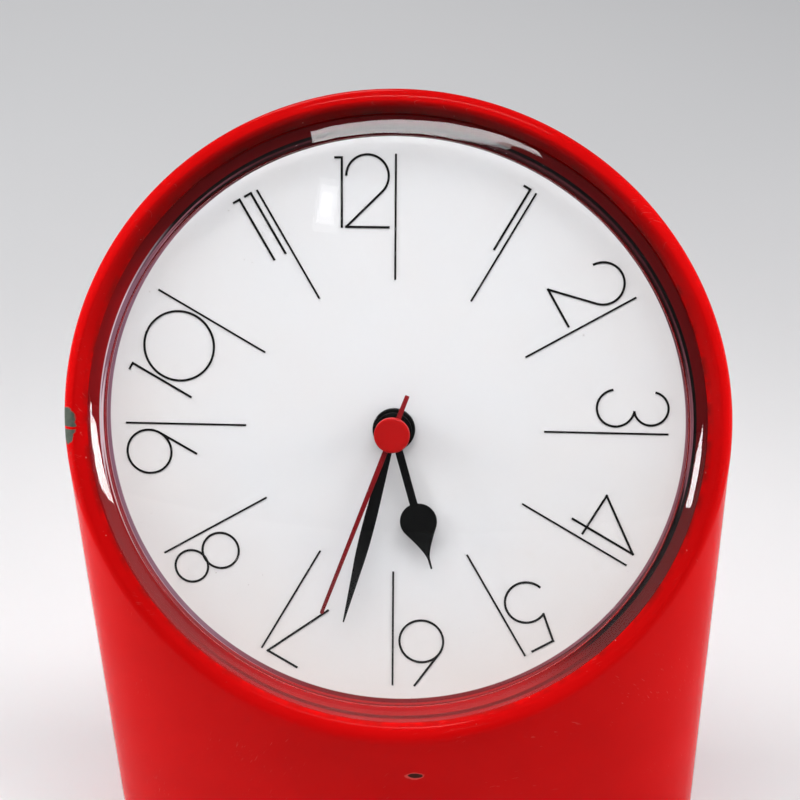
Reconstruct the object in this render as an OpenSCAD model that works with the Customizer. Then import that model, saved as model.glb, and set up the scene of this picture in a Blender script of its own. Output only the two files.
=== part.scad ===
// Table clock with a slanted round face, a raised crystal and a battery movement.
// Millimetres, Z up, the clock faces -Y. The origin is the middle of the footprint.

/* [Body] */
// Outer diameter of the rounded rim
face_d = 140; // [126:1:170]
// How far the face leans back from upright
face_tilt = 22; // [21:1:30]
// Height from the table to the top of the rim
total_h = 182; // [172:1:230]
// Thickness of the moulded wall
wall = 2.5; // [2:0.1:3]
// Radius of the rounded rim
rim_r = 2.6; // [2.2:0.1:3.4]
// How far the middle of the rim stands in front of the dial
rim_rise = 1.4; // [1:0.1:2.5]
// Width of the bevel inside the rim
rim_bevel = 2.35; // [1.5:0.05:3.5]
// Height of the lower end of that bevel above the dial
bevel_low = 1.2; // [0.8:0.1:2]
// Thickness of the ring that carries the dial
seat_t = 2.5; // [1.5:0.1:4]
// Width of the ring that carries the dial
seat_w = 6; // [4:0.5:10]

/* [Crystal] */
// Gap between crystal and body
crystal_gap = 0.2; // [0.1:0.05:0.4]
// Thickness of the upright side of the crystal
crystal_side_t = 3.2; // [2:0.1:4]
// Height of the upright side
crystal_side_h = 1.6; // [1:0.1:4]
// Radius of the shoulder
shoulder_r = 3.5; // [2.5:0.1:5]
// Slope of the crown where it meets the shoulder
crown_slope = 12; // [11:0.5:16]
// Thickness of the crown
crown_t = 2.2; // [1.5:0.1:2.8]

/* [Dial] */
// Thickness of the dial plate
dial_t = 1; // [0.6:0.1:1.5]
// Space from the crystal to the outer ends of the hour lines
line_margin = 4.4; // [2:0.1:8]
// Length of the hour lines
line_l = 26; // [15:0.5:30]
// Width of the hour lines
line_w = 0.4; // [0.3:0.05:1]
// Height of the numbers
number_h = 14.7; // [10:0.1:18]
// Width of the strokes of the numbers
stroke_w = 0.47; // [0.3:0.01:1]
// Space between a number and its hour line
number_gap = 1.2; // [0.8:0.1:3]
// Thickness of the printed lines and numbers
print_t = 0.12; // [0.1:0.01:0.3]

/* [Hands] */
// Hour hand at rest, in degrees from twelve
hour_turn = 164.4; // [0:0.1:360]
// Minute hand at rest, in degrees from twelve
minute_turn = 193.9; // [0:0.1:360]
// Second hand at rest, in degrees from twelve
second_turn = 200.7; // [0:0.1:360]
// Length of the hour hand
hour_l = 30.8; // [26:0.1:34]
// Radius of the drop on the hour hand
drop_r = 3.8; // [2.5:0.1:5]
// Length of the minute hand
minute_l = 42.3; // [34:0.1:50]
// Greatest width of the minute hand
minute_w = 3; // [2:0.1:5]
// Reach of the second hand past the inner ends of the hour lines
second_l = 9.75; // [4:0.05:16]
// Length of the tail of the second hand
second_tail = 8.8; // [5:0.1:14]
// Width of the second hand
second_w = 0.75; // [0.5:0.05:1.2]
// Width of the hour and minute hand at the hub
stem_w = 1.4; // [1:0.1:2]
// Thickness of the hour and minute hand
hand_t = 0.5; // [0.3:0.05:0.8]
// Height of the hour hand above the dial
hour_rise = 2.2; // [2:0.1:2.6]
// Free space between one hand and the next
hand_space = 1.35; // [1.2:0.05:1.8]
// Diameter of the red cap
cap_d = 7.4; // [6:0.1:9]
// Thickness of the red cap
cap_t = 1; // [0.6:0.1:1.2]
// Diameter of the round nut
nut_d = 8.9; // [8:0.1:12]
// Thickness of the round nut
nut_t = 1.2; // [0.8:0.1:1.4]
// Thickness of the washer below the nut
washer_t = 0.3; // [0.2:0.05:0.5]

/* [Movement] */
// Width of the movement
case_w = 57; // [56:0.5:60]
// Reach of the movement above the hand axis
case_top = 17.2; // [17:0.1:19]
// Reach of the gear space below the hand axis
gear_floor = 18.8; // [18.6:0.1:22]
// Wall of the movement case
case_wall = 1.2; // [0.8:0.1:1.4]
// Thickness of the wheels
wheel_t = 0.7; // [0.5:0.05:0.8]
// Free space between two levels of wheels
level_gap = 0.8; // [0.65:0.05:0.9]
// Thickness of the gear plate
plate_t = 0.7; // [0.5:0.05:1]
// Radius of the second arbor
second_arbor_r = 0.75; // [0.5:0.05:0.8]
// Wall of the minute tube
minute_tube_t = 0.72; // [0.5:0.02:0.74]
// Wall of the hour tube
hour_tube_t = 0.57; // [0.4:0.01:0.7]
// Wall of the threaded bush
bush_t = 1.1; // [0.8:0.05:1.3]
// Radius of the other arbors
arbor_r = 0.5; // [0.4:0.05:0.6]
// Radial clearance of turning parts
run_fit = 0.08; // [0.05:0.01:0.1]
// Radial clearance of pressed parts
press_fit = 0.02; // [0.01:0.005:0.03]
// Clearance between fixed parts
part_gap = 0.2; // [0.1:0.05:0.3]
// Thinning of the gear teeth at the pitch circle
backlash = 0.05; // [0.04:0.005:0.07]

/* [Motor] */
// Radius of the rotor magnet
magnet_r = 2.6; // [2:0.1:2.8]
// Gap between rotor and stator
air_gap = 0.4; // [0.3:0.05:0.6]
// Radius of the coil winding
coil_r = 2.1; // [1.8:0.1:2.3]
// Length of the coil winding
coil_l = 9; // [7:0.1:9.4]
// Place of the coil to the right of the hand axis
coil_x = 19.8; // [19.6:0.1:20.2]

/* [Battery] */
// Diameter of the cell
cell_d = 14.5; // [14:0.1:15]
// Length of the cell with its button
cell_l = 50.5; // [49:0.1:50.5]
// Space for the contact at each end of the cell
contact_room = 2.05; // [1.8:0.05:3]
// Thickness of the contact strips
contact_t = 0.4; // [0.3:0.05:0.6]

/* [Back] */
// Width of the battery door
door_w = 60; // [52:0.5:66]
// Height of the battery door
door_h = 34; // [28:0.5:38]
// Height of the lower edge of the door above the table
door_z = 65; // [50:0.5:68]
// Thickness of the door
door_t = 1.2; // [1:0.05:1.4]
// Gap around the door
door_gap = 0.3; // [0.2:0.05:0.5]
// Width of the ledge behind the door
door_ledge = 3; // [2:0.1:5]
// Diameter of the setting knob
knob_d = 12; // [9:0.5:13]
// Height of the setting knob
knob_h = 6; // [4:0.1:6.4]
// Finger space around the setting knob
knob_space = 3; // [2:0.1:4]

/* [Base] */
// Height of the gap under the body shell
foot_gap = 1; // [0.5:0.1:2]
// Thickness of the rubber feet
foot_t = 2.5; // [2.2:0.1:4]
// Diameter of the rubber feet
foot_d = 10; // [6:0.5:12]
// Distance of the feet from the sides of the body
foot_x = 30; // [26:0.5:40]
// Distance of the feet from the front and back of the body
foot_y = 14.85; // [14.5:0.05:20]
// Thickness of the base plate
base_t = 2.5; // [1.5:0.1:4]
// Distance of the base screws from the middle
screw_x = 57; // [50:0.5:58]
// Radius of the screw thread
screw_r = 1.25; // [1:0.05:1.5]
// Length of the screw thread
screw_l = 14; // [8:0.5:16]

/* [Hidden] */
$fn = 96;
outline_steps = 72;
over = 1;

ring_r = face_d / 2 - rim_r;
rim_z = total_h - ring_r * cos(face_tilt) - rim_r;
bore_r = ring_r - rim_bevel;
crystal_r = bore_r - crystal_gap;
view_r = crystal_r - crystal_side_t;
dial_r = bore_r - crystal_gap;
seat_back = -dial_t - seat_t;
line_end = view_r - line_margin;
second_end = line_end - line_l + second_l;
number_low = line_end - number_h;

// Crystal: the shoulder ends where the crown begins.
shoulder_x = crystal_r - shoulder_r;
crown_x = shoulder_x + shoulder_r * sin(crown_slope);
crown_z = crystal_side_h + shoulder_r * cos(crown_slope);
crown_r = crown_x / sin(crown_slope);
crown_mid = crown_z - crown_r * cos(crown_slope);

// Levels of the hands, in front of the dial.
minute_rise = hour_rise + hand_t + hand_space;
second_rise = minute_rise + hand_t + hand_space;
second_t = 0.4;
tube_over = 0.3;

// Radii around the hand axis, from the inside out.
minute_tube_in = second_arbor_r + run_fit;
minute_tube_r = minute_tube_in + minute_tube_t;
hour_tube_in = minute_tube_r + run_fit;
hour_tube_r = hour_tube_in + hour_tube_t;
bush_in = hour_tube_r + run_fit;
bush_r = bush_in + bush_t;
nut_in = bush_r + press_fit;

// Levels behind the dial: each value is the rear face of that wheel or plate.
front_in = -dial_t - case_wall;
hour_z = front_in - 0.3 - wheel_t;
minute_z = hour_z - level_gap - wheel_t;
plate_z = minute_z - level_gap - plate_t;
centre_z = plate_z - level_gap - wheel_t;
third_z = centre_z - level_gap - wheel_t;
second_z = third_z - level_gap - wheel_t;
inter_z = second_z - level_gap - wheel_t;
rear_in = inter_z - level_gap;
rear_z = rear_in - case_wall;
pivot_z = rear_in - case_wall / 2;

// Gears: sixty turns of the second hand make one of the minute hand, twelve of that one of the hour hand.
pressure = 25;
tip_depth = 0.8;
root_depth = 1.1;
pinion_teeth = 10;
centre_teeth = 80;
third_teeth = 75;
second_teeth = 60;
inter_teeth = 50;
cannon_teeth = 12;
minute_teeth = 36;
hour_teeth = 40;
centre_mod = 0.27;
second_mod = 0.34;
rotor_mod = 0.28;
cannon_mod = 0.5;
third_a = centre_mod * (pinion_teeth + centre_teeth) / 2;
third_mod = 2 * third_a / (pinion_teeth + third_teeth);
inter_a = second_mod * (pinion_teeth + second_teeth) / 2;
rotor_a = rotor_mod * (pinion_teeth + inter_teeth) / 2;
minute_a = cannon_mod * (cannon_teeth + minute_teeth) / 2;
hour_mod = 2 * minute_a / (pinion_teeth + hour_teeth);
third_dir = 205;
inter_dir = -70;
rotor_dir = 15;
minute_dir = 30;
third_at = polar(third_a, third_dir);
inter_at = polar(inter_a, inter_dir);
rotor_at = inter_at + polar(rotor_a, rotor_dir);
minute_at = polar(minute_a, minute_dir);
pinion_over = 0.2;

// Movement case and battery bay.
case_in = case_w / 2 - case_wall;
bay_in = cell_l / 2 + contact_room;
cell_gap = 0.25;
cell_r = cell_d / 2;
bay_top = -gear_floor - case_wall;
bay_low = bay_top - cell_d - 2 * cell_gap;
case_low = bay_low - case_wall;
cell_at = [0, bay_top - cell_gap - cell_r, front_in - cell_gap - cell_r];
pillar_r = 2;
pillar_in = 0.9;
pillar_x = case_in - pillar_r - 0.3;
pillar_top = case_top - case_wall - pillar_r + 0.2;
pin_r = pillar_in - 0.1;
core_w = 2;
core_reach = 8;
pillars = [[-pillar_x, -gear_floor + pillar_r + 0.3], [-pillar_x, pillar_top],
           [pillar_x, rotor_at[1] + core_reach + pillar_r + 0.5], [pillar_x, pillar_top]];
stator_w = magnet_r + air_gap + 1.2;
stator_z = third_z;
post_r = 1.2;
board_x = 4.9 - case_in;
board_y = 8.5;
board_size = [12.9, 5.8, 0.8];
board_z = second_z;
can_r = 1;

// Back and base.
door_seat = door_t + door_gap;
knob_z = rear_z - 0.6;
shell_in = rim_r - wall;
foot_top = foot_t;
base_top = foot_top + base_t;
boss_r = 4;
boss_h = screw_l + 4;
head_r = 2.6;
head_t = 1.4;

function polar(r, a) = [r * cos(a), r * sin(a)];
function arc_points(mid, r, from, to, steps) =
    [for (i = [0:steps]) mid + polar(r, from + (to - from) * i / steps)];

// Oval outline of the body, at a distance from the oval that lies below the middle of the rim.
function outline(away) =
    [for (i = [0:outline_steps - 1])
        let (t = 360 * i / outline_steps, a = ring_r, b = ring_r * sin(face_tilt),
             n = [b * cos(t), a * sin(t)])
        [a * cos(t), b * sin(t)] + away * n / norm(n)];

function involute(a) = tan(a) * 180 / PI - a;
// Half the angle of a tooth at radius r.
function tooth_half(teeth, m, r) =
    let (pitch_r = m * teeth / 2, base_r = pitch_r * cos(pressure))
    90 / teeth - backlash / 2 / pitch_r * 180 / PI
    + involute(pressure) - involute(acos(min(1, base_r / r)));
function tooth(teeth, m) =
    let (pitch_r = m * teeth / 2)
    [for (r = [pitch_r - root_depth * m, pitch_r, pitch_r + tip_depth * m])
        [r, tooth_half(teeth, m, max(r, pitch_r * cos(pressure)))]];
function gear_points(teeth, m) =
    let (side = tooth(teeth, m))
    [for (i = [0:teeth - 1], k = [0:5])
        let (p = side[k < 3 ? k : 5 - k], a = 360 * i / teeth)
        polar(p[0], a + (k < 3 ? -p[1] : p[1]))];

// The dial's frame: X to the right, Y to twelve, Z out of the dial.
module on_dial() {
    translate([0, rim_rise * cos(face_tilt), rim_z - rim_rise * sin(face_tilt)])
        rotate([90 - face_tilt, 0, 0])
            children();
}

module on_rim() {
    translate([0, 0, rim_z])
        rotate([90 - face_tilt, 0, 0])
            children();
}

module at(p) {
    translate([p[0], p[1], 0])
        children();
}

module rod(r, low, high) {
    translate([0, 0, low])
        cylinder(r = r, h = high - low);
}

module tube(r, r_in, low, high) {
    difference() {
        rod(r, low, high);
        rod(r_in, low - over, high + over);
    }
}

module block(x, y, z) {
    translate([x[0], y[0], z[0]])
        cube([x[1] - x[0], y[1] - y[0], z[1] - z[0]]);
}

module gear(teeth, m, low, thick, turn) {
    translate([0, 0, low])
        rotate([0, 0, turn])
            linear_extrude(thick)
                polygon(gear_points(teeth, m));
}

// A wheel has a tooth gap on the line to its pinion, where the pinion has a tooth.
module wheel(teeth, m, low, dir) {
    gear(teeth, m, low, wheel_t, dir + 180 + 180 / teeth);
}

module pinion(teeth, m, low, dir) {
    gear(teeth, m, low - pinion_over, wheel_t + 2 * pinion_over, dir);
}

module column(away, low, high) {
    translate([0, 0, low])
        linear_extrude(high - low)
            polygon(outline(away));
}

module skin() {
    hull() {
        on_rim()
            rotate_extrude($fn = outline_steps)
                translate([ring_r, 0])
                    circle(r = rim_r, $fn = 20);
        column(rim_r, foot_gap, foot_gap + over);
    }
}

module door_box(more, low, high) {
    block([-door_w / 2 - more, door_w / 2 + more], [low, high], [door_z - more, door_z + door_h + more]);
}

module body_hollow() {
    intersection() {
        column(shell_in, -over, total_h);
        on_dial() {
            block([-face_d, face_d], [-2 * total_h, total_h], [-total_h, seat_back]);
            rod(bore_r - seat_w, seat_back - over, over);
        }
    }
}

module face_cut() {
    on_dial() {
        rod(bore_r, -dial_t, total_h);
        translate([0, 0, bevel_low])
            cylinder(r1 = bore_r, r2 = ring_r, h = rim_rise + rim_r - bevel_low);
    }
}

module back_cut() {
    difference() {
        door_box(door_gap, 0, face_d);
        column(rim_r - door_seat, 0, total_h);
    }
    door_box(-door_ledge, 0, face_d);
    on_dial()
        at(minute_at)
            rod(knob_d / 2 + knob_space, -face_d, rear_z);
}

module base_boss(side) {
    difference() {
        intersection() {
            union() {
                translate([side * screw_x, 0, base_top])
                    cylinder(r = boss_r, h = boss_h);
                translate([side * (screw_x + ring_r) / 2, 0, base_top + boss_h / 2])
                    cube([ring_r - screw_x + 2, 3, boss_h], center = true);
            }
            column(shell_in + wall / 2, 0, total_h);
        }
        translate([side * screw_x, 0, base_top - over])
            cylinder(r = screw_r + press_fit, h = screw_l + over + 1);
    }
}

module body_shell() {
    color("#d0070a") {
        difference() {
            skin();
            body_hollow();
            face_cut();
            back_cut();
        }
        base_boss(-1);
        base_boss(1);
    }
}

module crystal() {
    inner_r = crown_r - crown_t;
    outer = concat(arc_points([shoulder_x, crystal_side_h], shoulder_r, 0, 90 - crown_slope, 6),
                   arc_points([0, crown_mid], crown_r, 90 - crown_slope, 90, 12));
    inner = arc_points([0, crown_mid], inner_r, 90, acos(view_r / inner_r), 12);
    color("#e8eef0", 0.25)
        on_dial()
            rotate_extrude()
                polygon(concat([[view_r, 0], [crystal_r, 0]], outer, inner));
}

module dial_plate() {
    color("#e4e3e2")
        on_dial()
            tube(dial_r, bush_r + part_gap, -dial_t, 0);
}

// A straight stroke from p to q. Its ends reach half a stroke further, so that corners are closed.
module stroke(p, q) {
    d = q - p;
    translate([p[0], p[1], 0])
        rotate([0, 0, atan2(d[1], d[0])])
            translate([-stroke_w / 2, -stroke_w / 2, 0])
                cube([norm(d) + stroke_w, stroke_w, print_t]);
}

module bend(mid, r, from, to) {
    translate([mid[0], mid[1], 0])
        rotate([0, 0, from])
            rotate_extrude(angle = to - from)
                translate([r - stroke_w / 2, 0])
                    square([stroke_w, print_t]);
}

module ring(mid, r) {
    translate([mid[0], mid[1], 0])
        tube(r + stroke_w / 2, r - stroke_w / 2, 0, print_t);
}

// Digits stand left of x = 0, with the foot at y = 0. Their sizes are shares of the number height.
top = number_h;
bowl = 0.295 * top;
loop = 0.32 * top;
small_loop = 0.24 * top;
loop_over = 0.4 * stroke_w;
big_loop = (top + loop_over) / 2 - small_loop;
digit_gap = 0.9;
flag_l = 0.09 * top;
two_w = 2 * bowl;
zero_r = top / 2;

module digit_one() {
    stroke([0, 0], [0, top]);
    stroke([-flag_l, top], [0, top]);
}

// A tail leaves its loop along a tangent, a little inside the middle of the loop's stroke.
tuck = 0.15 * stroke_w;
function leave(mid, r, end) =
    let (d = end - mid)
    atan2(d[1], d[0]) + acos((r - tuck) / norm(d));

module tail(mid, r, end) {
    stroke(mid + polar(r - tuck, leave(mid, r, end)), end);
}

module digit_two() {
    mid = [-bowl, top - bowl];
    foot = [-two_w, 0];
    bend(mid, bowl, leave(mid, bowl, foot), 180);
    tail(mid, bowl, foot);
    stroke(foot, [0, 0]);
}

// The loops of the three cross a little to the right of their middles.
module digit_three() {
    low_loop = 0.265 * top;
    apart = top - small_loop - low_loop;
    low_a = acos((apart^2 + low_loop^2 - small_loop^2) / (2 * apart * low_loop));
    high_a = acos((apart^2 + small_loop^2 - low_loop^2) / (2 * apart * small_loop));
    corner = stroke_w / 2 / small_loop * 180 / PI;
    bend([-low_loop, top - small_loop], small_loop, high_a - 90 - corner, 168);
    bend([-low_loop, low_loop], low_loop, -171, 90 - low_a + corner);
}

module digit_four() {
    stem = -flag_l;
    bar_y = 0.23 * top;
    left = [-0.63 * top, bar_y];
    stroke([stem, 0], [stem, top]);
    stroke(left, [stem, top]);
    stroke(left, [0.02 * top, bar_y]);
}

module digit_five() {
    r = 0.305 * top;
    mid = [-r, r];
    neck = [-0.065 * top, 0.687 * top] + mid;
    bend(mid, r, -161, 117);
    stroke(mid + polar(r, 117), [neck[0], top]);
    stroke([neck[0], top], [-0.03 * top, top]);
}

module digit_six() {
    mid = [-loop, loop];
    ring(mid, loop);
    tail(mid, loop, [-0.72 * loop, top]);
}

module digit_seven() {
    stroke([-0.49 * top, top], [0, top]);
    stroke([-0.45 * top, 0], [0, top]);
}

module digit_eight() {
    ring([-big_loop, top - small_loop], small_loop);
    ring([-big_loop, big_loop], big_loop);
}

module digit_nine() {
    mid = [-loop, top - loop];
    ring(mid, loop);
    tail(mid, loop, [-1.05 * loop, 0]);
}

module digit_zero() {
    ring([-zero_r, zero_r], zero_r);
}

module number(hour) {
    if (hour == 1) digit_one();
    if (hour == 2) digit_two();
    if (hour == 3) digit_three();
    if (hour == 4) digit_four();
    if (hour == 5) digit_five();
    if (hour == 6) digit_six();
    if (hour == 7) digit_seven();
    if (hour == 8) digit_eight();
    if (hour == 9) digit_nine();
    if (hour == 10) {
        digit_zero();
        translate([-2 * zero_r - digit_gap, 0, 0]) digit_one();
    }
    if (hour == 11) {
        digit_one();
        translate([-flag_l - digit_gap - stroke_w, 0, 0]) digit_one();
    }
    if (hour == 12) {
        digit_two();
        translate([-two_w - digit_gap, 0, 0]) digit_one();
    }
}

module dial_print() {
    color("#161416")
        on_dial()
            for (hour = [1:12])
                rotate([0, 0, -30 * hour]) {
                    block([-line_w / 2, line_w / 2], [line_end - line_l, line_end], [0, print_t]);
                    translate([-number_gap - stroke_w / 2, number_low, 0])
                        number(hour);
                }
}

module centre_nut() {
    color("#101010")
        on_dial()
            tube(nut_d / 2, nut_in, washer_t, washer_t + nut_t);
}

module nut_washer() {
    color("#181818")
        on_dial()
            tube(nut_d / 2 - part_gap, nut_in, 0, washer_t);
}

module hour_hand() {
    drop_y = 0.653 * hour_l;
    drop_end = 0.887 * hour_l;
    side = acos(drop_r / (drop_end - drop_y));
    color("#0c0b0b")
        on_dial()
            rotate([0, 0, -hour_turn])
                translate([0, 0, hour_rise])
                    linear_extrude(hand_t)
                        difference() {
                            union() {
                                circle(r = nut_d / 2 - 0.6);
                                translate([-stem_w / 2, 0])
                                    square([stem_w, drop_y]);
                                translate([0, drop_y])
                                    circle(r = drop_r);
                                polygon([[drop_r * sin(side), drop_y + drop_r * cos(side)], [0.3, drop_end],
                                         [0.2, hour_l], [-0.2, hour_l], [-0.3, drop_end],
                                         [-drop_r * sin(side), drop_y + drop_r * cos(side)]]);
                            }
                            circle(r = hour_tube_r + press_fit);
                        }
}

module minute_hand() {
    wide_y = 0.57 * minute_l;
    color("#0c0b0b")
        on_dial()
            rotate([0, 0, -minute_turn])
                translate([0, 0, minute_rise])
                    linear_extrude(hand_t)
                        difference() {
                            union() {
                                circle(r = minute_tube_r + 1.2);
                                polygon([[stem_w / 2, 0], [minute_w / 2, wide_y], [0.15, minute_l],
                                         [-0.15, minute_l], [-minute_w / 2, wide_y], [-stem_w / 2, 0]]);
                            }
                            circle(r = minute_tube_r + press_fit);
                        }
}

module second_hand() {
    pipe_r = second_arbor_r + 0.6;
    color("#5c1210")
        on_dial()
            rotate([0, 0, -second_turn])
                difference() {
                    union() {
                        rod(pipe_r, second_rise - 0.5, second_rise + second_t);
                        translate([0, 0, second_rise])
                            linear_extrude(second_t)
                                polygon([[second_w / 2, -second_tail], [second_w / 2, second_end - 3],
                                         [second_w, second_end - 2.4], [0.1, second_end],
                                         [-0.1, second_end],
                                         [-second_w, second_end - 2.4], [-second_w / 2, second_end - 3],
                                         [-second_w / 2, -second_tail]]);
                    }
                    rod(second_arbor_r + press_fit, second_rise - over, second_rise + second_t + over);
                }
}

module second_hand_cap() {
    edge = 0.35;
    low = second_rise + second_t;
    color("#c8090c")
        on_dial()
            rotate_extrude()
                polygon(concat([[0, low], [cap_d / 2, low]],
                               arc_points([cap_d / 2 - edge, low + cap_t - edge], edge, 0, 90, 4),
                               [[0, low + cap_t]]));
}

// The case has a gear space above and a battery bay below, with a wall between them.
module case_shape(low, high) {
    bay_w = bay_in + case_wall;
    block([-case_w / 2, case_w / 2], [bay_top, case_top], [low, high]);
    block([-bay_w, bay_w], [case_low, -gear_floor], [low, high]);
}

module case_space(low, high) {
    block([-case_in, case_in], [-gear_floor, case_top - case_wall], [low, high]);
    block([-bay_in, bay_in], [bay_low, bay_top], [low, high]);
}

module movement_front_case() {
    color("#20201f")
        on_dial()
            difference() {
                union() {
                    difference() {
                        case_shape(plate_z, -dial_t);
                        case_space(plate_z - over, front_in);
                    }
                    rod(bush_r, front_in, washer_t + nut_t + 0.2);
                    for (p = pillars)
                        at(p) rod(pillar_r, plate_z + plate_t, front_in + case_wall / 2);
                }
                rod(bush_in, front_in - over, hour_rise);
                for (p = pillars)
                    at(p) rod(pin_r + press_fit, plate_z, front_in - 0.5);
                at(minute_at) rod(arbor_r + run_fit, front_in - over, front_in + 0.6);
            }
}

module rear_pivot(p) {
    at(p) rod(arbor_r + run_fit, pivot_z - 0.2, rear_in + over);
}

module movement_rear_case() {
    color("#262625")
        on_dial()
            difference() {
                union() {
                    difference() {
                        case_shape(rear_z, plate_z);
                        case_space(rear_in, plate_z + over);
                        block([-bay_in, bay_in], [bay_low, bay_top], [rear_z - over, rear_in + over]);
                    }
                    for (p = pillars)
                        at(p) rod(pillar_r, rear_in - case_wall / 2, plate_z);
                    translate([board_x + board_size[0] / 2, board_y + board_size[1] / 2, 0])
                        rod(post_r, rear_in - case_wall / 2, board_z);
                }
                for (p = pillars)
                    at(p) rod(pillar_in, rear_z - over, plate_z + over);
                at(minute_at) rod(arbor_r + run_fit, rear_z - over, rear_in + over);
                rod(second_arbor_r + run_fit, pivot_z - 0.2, rear_in + over);
                rear_pivot(third_at);
                rear_pivot(inter_at);
                rear_pivot(rotor_at);
            }
}

module movement_screws() {
    color("#b9bbbd")
        on_dial()
            for (p = pillars)
                at(p) {
                    rod(pin_r, rear_z, front_in - 1);
                    tube(pillar_r - 0.2, pin_r / 2, rear_z - 0.9, rear_z);
                }
}

module gear_plate() {
    edge = case_in - part_gap;
    color("#8b8d8a")
        on_dial() {
            difference() {
                block([-edge, edge], [-gear_floor + part_gap, case_top - case_wall - part_gap],
                      [plate_z, plate_z + plate_t]);
                rod(minute_tube_r + run_fit, plate_z - over, plate_z + plate_t + over);
                for (p = [third_at, inter_at, rotor_at, minute_at])
                    at(p) rod(arbor_r + run_fit, plate_z - over, plate_z + plate_t + over);
                for (p = pillars)
                    at(p) rod(pillar_in, plate_z - over, plate_z + plate_t + over);
            }
            for (side = [-1, 1])
                translate([coil_x, rotor_at[1] + side * (core_reach - core_w / 2), 0])
                    rod(core_w / 2, stator_z + wheel_t, plate_z + 0.1);
        }
}

module hour_wheel() {
    color("#e9e4d4")
        on_dial()
            difference() {
                union() {
                    wheel(hour_teeth, hour_mod, hour_z, minute_dir + 180);
                    rod(hour_tube_r, hour_z, hour_rise + hand_t + tube_over);
                }
                rod(hour_tube_in, hour_z - over, minute_rise);
            }
}

module cannon_pinion() {
    color("#c9a557")
        on_dial()
            difference() {
                union() {
                    pinion(cannon_teeth, cannon_mod, minute_z, minute_dir);
                    rod(minute_tube_r, centre_z - 0.5, minute_rise + hand_t + tube_over);
                }
                rod(minute_tube_in, rear_in, second_rise);
            }
}

module clutch_spring() {
    color("#c9ccd0")
        on_dial()
            tube(minute_tube_r + 2.6, minute_tube_r + press_fit, centre_z - 0.35, centre_z - 0.15);
}

module centre_wheel() {
    color("#d9b35e")
        on_dial()
            difference() {
                wheel(centre_teeth, centre_mod, centre_z, third_dir + 180);
                rod(minute_tube_r + run_fit, centre_z - over, centre_z + wheel_t + over);
            }
}

module third_wheel() {
    color("#e6e1d0")
        on_dial()
            at(third_at) {
                rod(arbor_r, pivot_z, plate_z + plate_t);
                pinion(pinion_teeth, centre_mod, centre_z, third_dir + 180);
                wheel(third_teeth, third_mod, third_z, third_dir);
            }
}

module second_wheel() {
    color("#e6e1d0")
        on_dial() {
            rod(second_arbor_r, pivot_z, second_rise + second_t);
            pinion(pinion_teeth, third_mod, third_z, third_dir);
            wheel(second_teeth, second_mod, second_z, inter_dir + 180);
        }
}

module intermediate_wheel() {
    color("#e6e1d0")
        on_dial()
            at(inter_at) {
                rod(arbor_r, pivot_z, plate_z + plate_t);
                pinion(pinion_teeth, second_mod, second_z, inter_dir + 180);
                wheel(inter_teeth, rotor_mod, inter_z, rotor_dir + 180);
            }
}

module rotor() {
    color("#55585c")
        on_dial()
            at(rotor_at) {
                rod(arbor_r, pivot_z, plate_z + plate_t);
                pinion(pinion_teeth, rotor_mod, inter_z, rotor_dir + 180);
                rod(magnet_r, stator_z - 0.6, stator_z + wheel_t + 0.4);
            }
}

module stator_core() {
    color("#9fa3a6")
        on_dial()
            difference() {
                translate([0, rotor_at[1], 0]) {
                    block([rotor_at[0] - stator_w, rotor_at[0] + stator_w], [-core_reach, core_reach],
                          [stator_z, stator_z + wheel_t]);
                    for (y = [-core_reach, core_reach - core_w])
                        block([rotor_at[0], coil_x + core_w / 2], [y, y + core_w],
                              [stator_z, stator_z + wheel_t]);
                    block([coil_x - core_w / 2, coil_x + core_w / 2], [-core_reach, core_reach],
                          [stator_z, stator_z + wheel_t]);
                }
                at(rotor_at) rod(magnet_r + air_gap, stator_z - over, stator_z + wheel_t + over);
            }
}

// Turns a shape that stands along Z so that it lies along the stator core.
module along_core() {
    translate([coil_x, rotor_at[1], stator_z + wheel_t / 2])
        rotate([90, 0, 0])
            children();
}

module coil_bobbin() {
    flange_t = 0.7;
    hub_r = 1.4;
    color("#d8d4c8")
        on_dial()
            along_core()
                difference() {
                    union() {
                        rod(hub_r, -coil_l / 2, coil_l / 2);
                        for (z = [-coil_l / 2 - flange_t, coil_l / 2])
                            rod(coil_r + 0.3, z, z + flange_t);
                    }
                    cube([core_w + press_fit, wheel_t + press_fit, 2 * core_reach], center = true);
                }
}

module coil_winding() {
    color("#b4602c")
        on_dial()
            along_core()
                tube(coil_r, 1.4 + press_fit, -coil_l / 2 + press_fit, coil_l / 2 - press_fit);
}

module circuit_board() {
    color("#2c6a3c")
        on_dial()
            translate([board_x, board_y, board_z])
                cube(board_size);
}

module oscillator() {
    color("#c4c7ca")
        on_dial()
            translate([board_x + 2, board_y + board_size[1] / 2, board_z + board_size[2] + can_r])
                rotate([0, 90, 0])
                    cylinder(r = can_r, h = 6);
}

module minute_wheel() {
    color("#e9e4d4")
        on_dial()
            at(minute_at) {
                rod(arbor_r, knob_z - knob_h + 1, front_in + 0.4);
                wheel(minute_teeth, cannon_mod, minute_z, minute_dir);
                pinion(pinion_teeth, hour_mod, hour_z, minute_dir + 180);
            }
}

module setting_knob() {
    grips = 18;
    color("#1b1b1b")
        on_dial()
            at(minute_at)
                difference() {
                    rod(knob_d / 2, knob_z - knob_h, knob_z);
                    rod(arbor_r + press_fit, knob_z - knob_h + 0.9, knob_z + over);
                    for (i = [0:grips - 1])
                        rotate([0, 0, 360 * i / grips])
                            translate([knob_d / 2 + 0.3, 0, 0])
                                rod(0.8, knob_z - knob_h - over, knob_z + over);
                }
}

// Turns a shape that stands along Z so that it lies along the cell, with its foot at the right end.
module along_cell() {
    translate(cell_at)
        rotate([0, 90, 0])
            children();
}

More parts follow.
